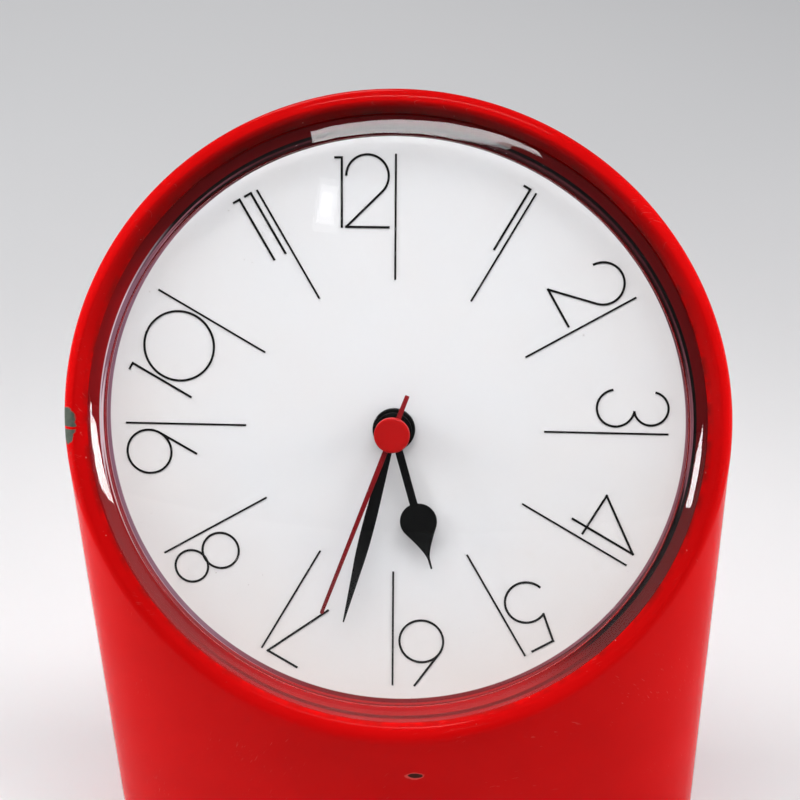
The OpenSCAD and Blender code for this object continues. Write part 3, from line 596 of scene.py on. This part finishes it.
def stroke_maker():
    """Flat strokes of ink along curves, seated in the part."""
    maker = Maker("ink_strokes", {"Width": "Float", "Thickness": "Float", "Seat": "Vector",
                                  "Seat Turn": "Vector", "Finish": "Material"})
    upright = maker.add("GeometryNodeSetCurveNormal", {0: maker.given("Geometry")}, mode="Z_UP")
    pen = maker.add("GeometryNodeCurvePrimitiveQuadrilateral",
                    {"Width": maker.given("Width"), "Height": maker.given("Thickness")})
    ink = maker.add("GeometryNodeCurveToMesh", {
        "Curve": upright.outputs[0], "Profile Curve": pen.outputs[0], "Fill Caps": True})
    half = maker.add("ShaderNodeMath", {0: maker.given("Thickness"), 1: 0.5}, operation="MULTIPLY")
    lift = maker.add("ShaderNodeCombineXYZ", {2: half.outputs[0]})
    lifted = maker.add("GeometryNodeTransform", {
        "Geometry": ink.outputs[0], "Translation": lift.outputs[0]})
    return maker.close(maker.seated(lifted.outputs[0]))


RINGS, SPOTS, STROKES = ring_maker(), spot_maker(), stroke_maker()


# Body shell.
BODY_STEPS = 360
FOOT_EDGE, WALL_TOP, CREST_ROUND, FRONT_ROUND = 0.6, 6, 1.5, 3
BROW, HEEL_ROUND = math.radians(80), 0.25
# The door is a sleeve of the wall between two heights, within a panel of this depth.
SLEEVE_LOW, SLEEVE_HIGH, PANEL_DEEP = 40, 130, 60


def oval():
    """Middle line of the rim, its level normals and its spokes."""
    t = np.linspace(0, TURN, BODY_STEPS, endpoint=False)
    spoke = np.cos(t)[:, None] * ACROSS + np.sin(t)[:, None] * UP
    middle = DIAL_AT + RING_R * spoke + RIM_RISE * OUT
    side = np.stack([SIN * np.cos(t), np.sin(t), 0 * t], 1)
    side /= np.linalg.norm(side, axis=1)[:, None]
    return t, spoke, middle, side


def upright_ring(away, z):
    _, _, middle, side = oval()
    p = middle + away * side
    p[:, 2] = z
    return p


def body_rows():
    """Rows of the shell, from the base up the wall, over the rim and back down the inside."""
    t, spoke, middle, side = oval()
    rows = [upright_ring(SHELL_IN, FOOT_GAP)]
    for a in np.radians((0, 30, 60, 90)):
        rows.append(upright_ring(RIM_R - FOOT_EDGE * (1 - math.sin(a)),
                                 FOOT_GAP + FOOT_EDGE * (1 - math.cos(a))))
    low, top = FOOT_GAP + FOOT_EDGE, middle[:, 2]
    for k in np.linspace(0, 1, 11)[1:]:
        rows.append(upright_ring(RIM_R, low + (top - WALL_TOP - low) * k))
    bend = [upright_ring(RIM_R, top - WALL_TOP * (1 - k)) for k in np.linspace(0, 1, 9)[1:]]
    begin = np.arctan2(-np.sin(t) * COS, SIN)
    stop = np.maximum(BROW - 0.03, begin + 0.01)
    for k in np.linspace(0, 1, 19)[1:]:
        a = (begin + (stop - begin) * k)[:, None]
        bend.append(middle + RIM_R * (np.cos(a) * spoke + np.sin(a) * OUT))
    crest, heel = np.array([RING_R, RIM_RISE + RIM_R]), np.array([BORE_R, BEVEL_LOW])
    fall = (heel - crest) / np.linalg.norm(heel - crest)
    brow = np.array([RING_R, RIM_RISE]) + RIM_R * np.array([math.cos(BROW), math.sin(BROW)])
    along = np.array([-math.sin(BROW), math.cos(BROW)])
    reach = np.linalg.solve(np.stack([along, -fall], 1), crest - brow)[0]
    bend += [DIAL_AT + r * spoke + h * OUT
             for r, h in corner(brow, brow + reach * along, crest + CREST_ROUND * fall, 9)]
    # The rim rounds off more softly towards the front.
    front, slope = np.clip(-np.sin(t), 0, 1)[:, None] ** 2, fall[0] * spoke + fall[1] * OUT
    peak = DIAL_AT + crest[0] * spoke + crest[1] * OUT
    past = (RIM_R - ((peak - middle) * side).sum(1)) / (slope * side).sum(1)
    peak = peak + past[:, None] * slope
    under, over = peak - np.array([0, 0, FRONT_ROUND]), peak + FRONT_ROUND * slope
    for k, row in zip(np.linspace(0, 1, len(bend)), bend):
        rows.append((1 - front) * row + front * bow(under, peak, over, k))
    face = [tuple(crest + (heel - crest) * 0.88)]
    face += corner(heel - HEEL_ROUND * fall, heel, heel - np.array([0, HEEL_ROUND]), 3)
    face += [(BORE_R, -DIAL_T), (BORE_R - SEAT_W, -DIAL_T), (BORE_R - SEAT_W, SEAT_BACK)]
    rows += [DIAL_AT + r * spoke + h * OUT for r, h in face]
    inner = upright_ring(SHELL_IN, 0)
    inner[:, 2] = DIAL_AT[2] + (SEAT_BACK + COS * (inner[:, 1] - DIAL_AT[1])) / SIN
    rows.append(inner)
    for k in (0.35, 0.7):
        level = inner.copy()
        level[:, 2] += (FOOT_GAP - level[:, 2]) * k
        rows.append(level)
    return rows


def back_panel(name, more, low, high, radius):
    """A prism along Y on a rectangle with round corners, as large as the door and a margin."""
    x, z = DOOR_W / 2 + more - radius, DOOR_H / 2 + more - radius
    middle = DOOR_Z + DOOR_H / 2
    outline = []
    for i, (sx, sz) in enumerate(((1, 1), (-1, 1), (-1, -1), (1, -1))):
        outline += arc((sx * x, sz * z), radius, 90 * i, 90 * i + 90, 6)
    return prism(name, outline, low, high,
                 lambda p: np.stack([np.array(p)[:, 0], np.array(p)[:, 2], middle + np.array(p)[:, 1]], 1))


def upright_column(name, away, low, high):
    rows = [upright_ring(away, low), upright_ring(away, high)]
    caps = [tuple(range(BODY_STEPS)), tuple(range(BODY_STEPS, 2 * BODY_STEPS))]
    return solid(name, np.concatenate(rows), lattice(2, BODY_STEPS, False) + caps)


def red_body():
    red, rows = FINISH["red_shell"], body_rows()
    body = dress(solid("body_red", np.concatenate(rows), lattice(len(rows), BODY_STEPS, True)), red)
    core = upright_column("core", RIM_R - DOOR_SEAT, SLEEVE_LOW, SLEEVE_HIGH)
    pocket = cut(dress(back_panel("pocket", DOOR_GAP, 0, PANEL_DEEP, POCKET_ROUND), red), dress(core, red))
    way = dress(back_panel("way", -DOOR_LEDGE, 0, PANEL_DEEP, WAY_ROUND), red)
    hole = dress(prism("hole", loop((0, 0), KNOB_HOLE, 96), *KNOB_HOLE_Z, from_knob), red)
    return dress(cut(body, pocket, way, hole), red)


handed(red_body(), "case", "red_shell", "body_shell")


# Crystal.
def crystal_dome():
    """A shallow dome with a chamfered edge, open below."""
    shoulder_x = CRYSTAL_R - SHOULDER_R
    crown_x = shoulder_x + SHOULDER_R * math.sin(CROWN_SLOPE)
    crown_z = CRYSTAL_SIDE_H + SHOULDER_R * math.cos(CROWN_SLOPE)
    crown_r = crown_x / math.sin(CROWN_SLOPE)
    middle = crown_z - crown_r * math.cos(CROWN_SLOPE)
    ridge = np.array((RIDGE_R, middle + math.sqrt(crown_r ** 2 - RIDGE_R ** 2)))
    run = np.array([math.cos(CHAMFER), -math.sin(CHAMFER)])
    rim = ridge + run * (CRYSTAL_R - RIDGE_R) / run[0]
    last = ridge + RIDGE_SOFT * np.array((-1, RIDGE_R / (ridge[1] - middle)))
    inner_r, view_r, foot = crown_r - CROWN_T, RIDGE_R - 0.3, -0.05
    slope = math.degrees(CROWN_SLOPE)
    inner_end = math.degrees(math.acos(view_r / inner_r))
    brim = middle + inner_r * math.sin(math.radians(inner_end))
    profile = [p for p in arc((0, middle), crown_r, 90, 90 - slope, 40) if p[0] < last[0]]
    profile += corner(last, ridge, ridge + RIDGE_SOFT * run, 4)
    profile += [tuple(ridge + (rim - ridge) * k) for k in (0.35, 0.65)]
    profile += corner(rim - EDGE_SOFT * run, rim, rim - np.array((0, 0.35)), 5)
    profile += [(CRYSTAL_R, rim[1] * 0.6), (CRYSTAL_R, rim[1] * 0.3), (CRYSTAL_R, foot), (view_r, foot)]
    profile += corner((view_r, brim - 0.5), (view_r, brim), (view_r - 0.5, brim + 0.1), 5)
    profile += [p for p in arc((0, middle), inner_r, inner_end, 90, 40) if p[0] < view_r - 0.6]
    profile[0], profile[-1] = (0, profile[0][1]), (0, profile[-1][1])
    return turned("crystal_dome", profile, 240, from_dial, FINISH["clear_crystal"], 50)


handed(crystal_dome(), "case", "clear_crystal", "crystal")


# Dial print.
def stroke(p, q):
    p, q = np.array(p, float), np.array(q, float)
    reach = (q - p) / np.linalg.norm(q - p) * STROKE_W / 2
    return [tuple(p - reach), tuple(q + reach)]


TOP, ONE_H, ONE_LIFT = NUMBER_H, 0.955, 0.9
BOWL, LOOP, SMALL_LOOP, FIVE_R, ZERO_R = 0.295 * TOP, 0.32 * TOP, 0.24 * TOP, 0.305 * TOP, TOP / 2
BIG_LOOP, LOW_LOOP = (TOP + 0.4 * STROKE_W) / 2 - SMALL_LOOP, 0.265 * TOP
FLAG, DIGIT_GAP, LOOP_STEPS = 0.09 * TOP, 0.9, 72
TEN_SHIFT = (0.6, -1.9)


def leave(mid, r, end):
    """Where a tangent to the end leaves a loop, in degrees."""
    d = np.array(end) - np.array(mid)
    return math.degrees(math.atan2(d[1], d[0]) + math.acos(r / np.linalg.norm(d)))


def on_loop(mid, r, degrees):
    return arc(mid, r, degrees, degrees, 1)[0]


def ink_loop(mid, r):
    return loop(mid, r, LOOP_STEPS)


def digit(n):
    """Strokes of one digit, left of x = 0 with its foot at y = 0. A closed loop has LOOP_STEPS points."""
    if n == 0:
        return [ink_loop((-ZERO_R, ZERO_R), ZERO_R)]
    if n == 1:
        return [stroke((0, 0), (0, TOP)), stroke((-FLAG, TOP), (0, TOP))]
    if n == 2:
        mid, foot = (-BOWL, TOP - BOWL), (-2 * BOWL, 0)
        return [arc(mid, BOWL, 180, leave(mid, BOWL, foot), 48) + [foot], stroke(foot, (0, 0))]
    if n == 3:
        apart = TOP - SMALL_LOOP - LOW_LOOP
        low = math.degrees(math.acos((apart**2 + LOW_LOOP**2 - SMALL_LOOP**2) / (2 * apart * LOW_LOOP)))
        high = math.degrees(math.acos((apart**2 + SMALL_LOOP**2 - LOW_LOOP**2) / (2 * apart * SMALL_LOOP)))
        return [arc((-LOW_LOOP, TOP - SMALL_LOOP), SMALL_LOOP, high - 93, 168, 48),
                arc((-LOW_LOOP, LOW_LOOP), LOW_LOOP, -171, 93 - low, 48)]
    if n == 4:
        left = (-0.63 * TOP, 0.23 * TOP)
        return [stroke((-FLAG, 0), (-FLAG, TOP)), stroke(left, (-FLAG, TOP)),
                stroke(left, (0.02 * TOP, left[1]))]
    if n == 5:
        mid = (-FIVE_R, FIVE_R)
        neck = (-0.065 * TOP - FIVE_R, TOP)
        return [arc(mid, FIVE_R, -161, 117, 48), stroke(on_loop(mid, FIVE_R, 117), neck),
                stroke(neck, (-0.03 * TOP, TOP))]
    if n == 6:
        mid, end = (-LOOP, LOOP), (-0.72 * LOOP, TOP)
        return [ink_loop(mid, LOOP), stroke(on_loop(mid, LOOP, leave(mid, LOOP, end)), end)]
    if n == 7:
        return [stroke((-0.49 * TOP, TOP), (0, TOP)), stroke((-0.45 * TOP, 0), (0, TOP))]
    if n == 8:
        return [ink_loop((-BIG_LOOP, TOP - SMALL_LOOP), SMALL_LOOP),
                ink_loop((-BIG_LOOP, BIG_LOOP), BIG_LOOP)]
    mid, end = (-LOOP, TOP - LOOP), (-1.05 * LOOP, 0)
    return [ink_loop(mid, LOOP), stroke(on_loop(mid, LOOP, leave(mid, LOOP, end)), end)]


def number(hour):
    """Strokes of an hour's number. A one is a little shorter than the other digits."""
    lift = ONE_LIFT if hour in (1, 11) else 0
    one = [[(x, y * ONE_H + lift) for x, y in path] for path in digit(1)]
    if hour < 10:
        return one if hour == 1 else digit(hour)
    width = {10: 2 * ZERO_R, 11: FLAG + STROKE_W, 12: 2 * BOWL}[hour]
    last = one if hour == 11 else digit(hour - 10)
    return last + [[(x - width - DIGIT_GAP, y) for x, y in path] for path in one]


def dial_numbers():
    """The numbers as one curve object, whose strokes the tree turns into ink."""
    curve = bpy.data.curves.new("numbers", "CURVE")
    curve.dimensions = "3D"
    for hour in range(1, 13):
        for path in number(hour):
            x0, y0 = TEN_SHIFT if hour == 10 else (0, 0)
            flat = [(x + x0 - NUMBER_GAP - STROKE_W / 2, y + y0 + NUMBER_LOW, 0) for x, y in path]
            points = clock_turn(flat, 30 * hour) * MM
            spline = curve.splines.new("POLY")
            spline.points.add(len(points) - 1)
            spline.use_cyclic_u = len(points) == LOOP_STEPS
            for point, p in zip(spline.points, points):
                point.co = (*p, 1)
    drawn = STROKES.attach(added("drawn", curve), Width=STROKE_W * MM, Thickness=PRINT_T * MM,
                           Seat=(DIAL_AT * MM).tolist(), Seat_Turn=DIAL_TURN, Finish=FINISH["print_black"])
    mesh = plain_mesh(drawn)
    bpy.data.objects.remove(drawn)
    return added("numbers", mesh)


def hour_lines():
    half = LINE_W / 2
    bar = prism("bar", [(-LINE_L / 2, -half), (LINE_L / 2, -half), (LINE_L / 2, half), (-LINE_L / 2, half)],
                0, PRINT_T, np.array)
    obj = solid("hour_lines", [], [])
    RINGS.make(obj, Shape=bar, Count=12, Radius=(LINE_END - LINE_L / 2) * MM, Seat=(DIAL_AT * MM).tolist(),
               Seat_Turn=DIAL_TURN, Finish=FINISH["print_black"])
    bpy.data.objects.remove(bar)
    return obj


dial_marks = joined("dial_marks", dial_numbers(), hour_lines())
handed(dress(dial_marks, FINISH["print_black"]), "case", "print_black", "dial_print")


# Hands.
def blade(name, outline, low, high, degrees, finish, edge=0.1):
    """A flat stamped hand with softened edges."""
    obj = prism(name, outline, low, high, lambda p: from_dial(clock_turn(p, degrees)))
    dress(obj, finish)
    return soften(obj, edge, 2, 40)


def hub(name, r, hole, low, high, finish, edge=0.1):
    profile = [(hole, low), (r - edge, low), (r, low + edge), (r, high - edge), (r - edge, high),
               (hole, high)]
    return turned(name, profile, 64, from_dial, finish, 30)


def hour_hand():
    drop_y, drop_end = 0.653 * HOUR_L, 0.887 * HOUR_L
    side = math.degrees(math.acos(DROP_R / (drop_end - drop_y)))
    stem = math.degrees(math.asin(STEM_W / 2 / DROP_R))
    right = arc((0, drop_y), DROP_R, -90 + stem, 90 - side, 30)
    waist = corner(right[-1], (0.42, drop_end - 0.5), (0.25, drop_end + 1.2), 6)[1:]
    half = [(STEM_W / 2, HOUR_HOLE + 0.3)] + right + waist + [(0.18, HOUR_L)]
    outline = half + [(-x, y) for x, y in reversed(half)]
    black = FINISH["black_metal"]
    parts = [blade("blade", outline, HOUR_RISE, HOUR_RISE + HAND_T, HOUR_TURN, black),
             hub("boss", NUT_D / 2 - 0.6, HOUR_HOLE, HOUR_RISE, HOUR_RISE + HAND_T, black)]
    return dress(joined("hour_hand_black", *parts), black, 30)


def minute_hand():
    wide_y = 0.57 * MINUTE_L
    half = [(STEM_W / 2, MINUTE_HOLE + 0.3)]
    half += corner((0.5 * (STEM_W / 2 + MINUTE_W / 2), wide_y * 0.55), (MINUTE_W / 2 + 0.03, wide_y),
                   (MINUTE_W / 2 * 0.62, wide_y + 0.36 * (MINUTE_L - wide_y)), 10)
    half += [(0.15, MINUTE_L)]
    outline = half + [(-x, y) for x, y in reversed(half)]
    black = FINISH["black_metal"]
    parts = [blade("blade", outline, MINUTE_RISE, MINUTE_RISE + HAND_T, MINUTE_TURN, black),
             hub("boss", MINUTE_HOLE + 1.22, MINUTE_HOLE, MINUTE_RISE, MINUTE_RISE + HAND_T, black)]
    return dress(joined("minute_hand_black", *parts), black, 30)


def second_hand():
    """A slim blade that narrows a little to its tip, with a tail."""
    half = [(SECOND_W / 2, -SECOND_TAIL + 0.12), (SECOND_W / 2 + 0.06, -2), (SECOND_W / 2 + 0.06, 6),
            (SECOND_W / 2 - 0.08, SECOND_L - 0.3), (0.25, SECOND_L)]
    outline = [(SECOND_W / 2 - 0.12, -SECOND_TAIL)] + half + [(-x, y) for x, y in reversed(half)]
    outline += [(-SECOND_W / 2 + 0.12, -SECOND_TAIL)]
    red = FINISH["dark_red"]
    parts = [blade("blade", outline, SECOND_RISE, SECOND_RISE + SECOND_T, SECOND_TURN, red, 0.08),
             hub("pipe", 1.35, SECOND_HOLE, SECOND_RISE - 0.5, SECOND_RISE + SECOND_T - 0.02, red)]
    return dress(joined("second_hand_red", *parts), red, 30)


def hand_cap():
    low, high, r, edge = SECOND_RISE + SECOND_T, SECOND_RISE + SECOND_T + CAP_T, CAP_D / 2, 0.35
    profile = [(0, low), (r - 0.1, low), (r, low + 0.1)] + arc((r - edge, high - edge), edge, 0, 80, 6)
    profile += [(r - edge - 0.6, high - 0.02), (r - 1.4, high - 0.05), (0, high - 0.06)]
    return turned("cap_red_disc", profile, 96, from_dial, FINISH["cap_red"], 40)


handed(hour_hand(), "hour", "black_metal", "hour_hand")
handed(minute_hand(), "minute", "black_metal", "minute_hand")
handed(second_hand(), "second", "dark_red", "second_hand")
handed(hand_cap(), "second", "cap_red", "second_hand_cap")
nut = hub("round_nut", NUT_D / 2, NUT_HOLE, NUT_LOW, NUT_LOW + NUT_T, FINISH["black_metal"], 0.18)
handed(nut, "case", "black_metal", "centre_nut")


# Back: battery door and setting knob.
NOTCH_R, RIB_X, RIB_SINK, RIB_TAPER = 6, 9, 0.1, 0.4
RIB_COUNT, RIB_STEP, RIB_DROP = 5, 2, 9
RIB_SECTION = ((-0.5, 0), (-0.3, 0.3), (0, 0.42), (0.3, 0.3), (0.5, 0))
KNOB_RIB, KNOB_EDGE, KNOB_BORE = 0.55, 0.6, 0.52


def battery_door():
    red = FINISH["red_door"]
    rows = [upright_ring(RIM_R, SLEEVE_LOW), upright_ring(RIM_R, SLEEVE_HIGH),
            upright_ring(RIM_R - DOOR_T, SLEEVE_HIGH), upright_ring(RIM_R - DOOR_T, SLEEVE_LOW)]
    sleeve = dress(solid("door_red", np.concatenate(rows), lattice(4, BODY_STEPS, True)), red)
    panel = dress(back_panel("panel", 0, 0, PANEL_DEEP, DOOR_ROUND), red)
    keep = sleeve.modifiers.new("keep", "BOOLEAN")
    keep.operation, keep.solver, keep.object = "INTERSECT", "EXACT", panel
    settle(sleeve)
    bpy.data.objects.remove(panel)
    notch = prism("notch", loop((0, DOOR_Z + DOOR_H), NOTCH_R, 64), 10, PANEL_DEEP,
                  lambda p: np.array(p)[:, [0, 2, 1]])
    return dress(cut(sleeve, dress(notch, red)), red)


def door_ribs():
    """Low ribs below the notch, for a finger."""
    back = RING_R * SIN + RIM_R - RIB_SINK
    points, steps, sides = [], np.linspace(-RIB_X, RIB_X, 25), len(RIB_SECTION)
    for x in steps:
        y = back - x * x / (2 * RING_R / SIN)
        swell = min(1.0, RIB_X + RIB_TAPER - abs(x))
        points += [(x, y + h * swell, z) for z, h in RIB_SECTION]
    ends = [tuple(range(sides)), tuple(range(len(points) - sides, len(points)))]
    rib = solid("rib", points, lattice(len(steps), sides, False) + ends)
    first = DOOR_Z + DOOR_H - RIB_DROP
    spots = solid("door_ribs", [(0, 0, first - RIB_STEP * i) for i in range(RIB_COUNT)], [])
    SPOTS.make(spots, Shape=rib, Finish=FINISH["red_door"])
    bpy.data.objects.remove(rib)
    return dress(spots, FINISH["red_door"], 50)


handed(battery_door(), "door", "red_shell", "battery_door")
handed(door_ribs(), "door", "red_shell")


def setting_knob():
    black = FINISH["black_plastic"]
    top, low, r = KNOB_TOP, KNOB_TOP - KNOB_H, KNOB_D / 2 - KNOB_RIB
    profile = [(KNOB_BORE, top), (r - 0.4, top), (r, top - 0.4), (r, low + KNOB_EDGE)]
    profile += arc((r - KNOB_EDGE, low + KNOB_EDGE), KNOB_EDGE, 0, -90, 5)
    profile += [(r - 1.4, low), (r - 1.9, low + 0.5), (KNOB_BORE, low + 0.5)]
    core = turned("core", profile, 72, from_knob, black, 40)
    section = arc((0, 0), KNOB_RIB, -90, 90, 6) + [(-0.3, 0.5), (-0.3, -0.5)]
    rib = prism("rib", section, 0, KNOB_H - 2 * KNOB_EDGE, np.array)
    rib = soften(dress(rib, black), 0.12, 2, 50)
    seat = from_knob([(0, 0, low + KNOB_EDGE)])[0] * MM
    ribs = RINGS.make(solid("ribs", [], []), Shape=rib, Count=24, Radius=r * MM, Seat=seat.tolist(),
                      Seat_Turn=DIAL_TURN, Finish=black)
    bpy.data.objects.remove(rib)
    return dress(joined("knob_black", core, ribs), black, 40)


handed(setting_knob(), "setting", "black_plastic", "setting_knob")


# Base: feet and screws.
def rubber_feet():
    r = FOOT_D / 2
    profile = [(0, 0.25), (r - 2.2, 0.25), (r - 1.9, 0)] + arc((r - 0.5, 0.5), 0.5, -90, 0, 4)
    profile += [(r, FOOT_T - 0.3), (r - 0.3, FOOT_T), (0, FOOT_T)]
    foot = turned("foot", profile, 48, np.array, FINISH["black_rubber"], 40)
    feet = solid("feet_rubber", [(x * FOOT_X, y * FOOT_Y, 0) for x in (-1, 1) for y in (-1, 1)], [])
    SPOTS.make(feet, Shape=foot, Finish=FINISH["black_rubber"])
    bpy.data.objects.remove(foot)
    return dress(feet, FINISH["black_rubber"], 40)


def base_screws():
    low, r = FOOT_T - SCREW_HEAD_T, SCREW_HEAD_R
    profile = [(0, FOOT_T + 10), (1.2, FOOT_T + 9), (1.2, FOOT_T), (r, FOOT_T), (r, FOOT_T - 0.4)]
    profile += corner((r, FOOT_T - 0.4), (r, low), (r - 1.2, low), 6)[1:] + [(0, low)]
    screw = turned("screw", profile, 48, np.array, FINISH["steel"], 40)
    arms = []
    for turn in (0, 90):
        a = math.radians(turn)
        box = [(-SLOT_L, -SLOT_W), (SLOT_L, -SLOT_W), (SLOT_L, SLOT_W), (-SLOT_L, SLOT_W)]
        flat = [(x * math.cos(a) - y * math.sin(a), x * math.sin(a) + y * math.cos(a)) for x, y in box]
        arms.append(dress(prism("arm", flat, low - 1, low + SLOT_DEEP, np.array), FINISH["steel"]))
    cut(screw, *arms)
    screws = solid("base_screws_steel", [(-SCREW_X, 0, 0), (SCREW_X, 0, 0)], [])
    SPOTS.make(screws, Shape=screw, Finish=FINISH["steel"])
    bpy.data.objects.remove(screw)
    return dress(screws, FINISH["steel"], 40)


handed(rubber_feet(), "case", "black_rubber", "rubber_feet")
handed(base_screws(), "case", "steel", "base_screws")


# Carried-over nodes take their finish by slot from this table.
NODE_FINISH = {
    "dial_plate": "dial_white", "nut_washer": "black_fibre", "movement_front_case": "black_plastic",
    "movement_rear_case": "black_plastic", "movement_screws": "steel", "gear_plate": "grey_plastic",
    "hour_wheel": "ivory_plastic", "cannon_pinion": "brass", "clutch_spring": "spring_steel",
    "centre_wheel": "brass", "third_wheel": "ivory_plastic", "second_wheel": "ivory_plastic",
    "intermediate_wheel": "ivory_plastic", "rotor": "magnet_grey", "stator_core": "steel",
    "coil_bobbin": "ivory_plastic", "coil_winding": "copper", "circuit_board": "board_green",
    "oscillator": "steel", "minute_wheel": "ivory_plastic", "battery_cell": "cell_blue",
    "contact_positive": "brass", "contact_negative": "brass", "base_plate": "black_plastic",
}
for name, slot in NODE_FINISH.items():
    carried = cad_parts[name]
    carried.data.materials.clear()
    carried.data.materials.append(FINISH[slot])


# Stage, light and camera.
FLOOR_X = 3000
CAMERA_AT, CAMERA_AIM = (23.496, -275.191, 307.141), (1.125, 3.528, 121.903)
CAMERA_ROLL, CAMERA_LENS, CAMERA_SENSOR = -1.334, 72.06, 36
AIM, OVERHEAD_AIM = (0, 0, 0.11), (0.06, 0, 0.11)


def pale_floor():
    x = FLOOR_X
    floor = solid("floor", [(-x, -x, 0), (x, -x, 0), (x, x, 0), (-x, x, 0)], [(0, 1, 2, 3)])
    mat, tree, card = new_finish("floor_card", (0.84, 0.84, 0.85), 0.8, Specular_IOR_Level=0.1)
    tree.links.new(tint(tree, speckle(tree, place(tree), 3, 2), (0.83, 0.83, 0.84), (0.86, 0.86, 0.87)),
                   card.inputs["Base Color"])
    floor.data.materials.append(mat)


def lamp(name, at, aim, wide, high, power, spread=180, roll=0, mirrored=True, fills=True):
    """A soft rectangular lamp, in metres and watts. One that isn't mirrored doesn't show in the gloss, and
    one that doesn't fill shows only there."""
    light = bpy.data.lights.new(name, "AREA")
    light.shape, light.size, light.size_y, light.energy = "RECTANGLE", wide, high, power
    light.spread = math.radians(spread)
    obj = added(name, light)
    obj.location = at
    look = (Vector(aim) - Vector(at)).to_track_quat("-Z", "Y").to_matrix()
    obj.rotation_euler = (look @ Matrix.Rotation(math.radians(roll), 3, "Z")).to_euler()
    obj.visible_transmission = False
    obj.visible_glossy, obj.visible_diffuse = mirrored, fills


def soft_room():
    world = bpy.data.worlds.new("room")
    bpy.context.scene.world = world
    world.use_nodes = True
    sky = world.node_tree.nodes["Background"]
    sky.inputs["Color"].default_value = (0.9, 0.93, 1.0, 1)
    sky.inputs["Strength"].default_value = 0.1


def photo_camera():
    data = bpy.data.cameras.new("camera")
    data.lens, data.sensor_width, data.clip_start = CAMERA_LENS, CAMERA_SENSOR, 0.01
    at, aim = Vector(CAMERA_AT) * MM, Vector(CAMERA_AIM) * MM
    look = (aim - at).to_track_quat("-Z", "Y").to_matrix()
    roll = Matrix.Rotation(math.radians(CAMERA_ROLL), 3, "Z")
    cam = added("camera", data)
    cam.matrix_world = Matrix.Translation(at) @ (look @ roll).to_4x4()
    bpy.context.scene.camera = cam


pale_floor()
soft_room()
lamp("left_window", (-0.75, -0.28, 0.68), AIM, 0.35, 0.35, 2.6, mirrored=False)
lamp("right_window", (0.75, -0.28, 0.66), AIM, 0.35, 0.35, 2.1, mirrored=False)
lamp("overhead", (0.06, -0.155, 1.15), OVERHEAD_AIM, 0.9, 0.11, 5.1, roll=5)
lamp("overhead_sheen", (0.06, -0.16, 1.155), OVERHEAD_AIM, 0.9, 0.13, 4.4, roll=5, fills=False)
lamp("back_window", (-0.3, 0.85, 0.75), AIM, 0.5, 0.4, 2.4)
lamp("right_low", (0.45, 0.0, 0.26), AIM, 0.12, 0.2, 0.22, 70, mirrored=False)
lamp("right_strip", (0.36, -0.156, 0.064), AIM, 0.004, 0.115, 0.0095, 70, -17)
lamp("left_low", (-0.45, 0.0, 0.26), AIM, 0.12, 0.2, 0.22, 70, mirrored=False)
lamp("left_strip", (-0.36, -0.111, 0.052), AIM, 0.014, 0.12, 0.028, 70, 24)
lamp("glint", (-0.22, -0.80, 0.745), AIM, 0.02, 0.05, 0.033)
lamp("glint_soft", (-0.22, -0.81, 0.75), AIM, 0.04, 0.085, 0.06)
lamp("glint_wide", (-0.22, -0.82, 0.755), AIM, 0.06, 0.12, 0.07)
photo_camera()
bpy.context.scene.view_settings.view_transform = "Standard"
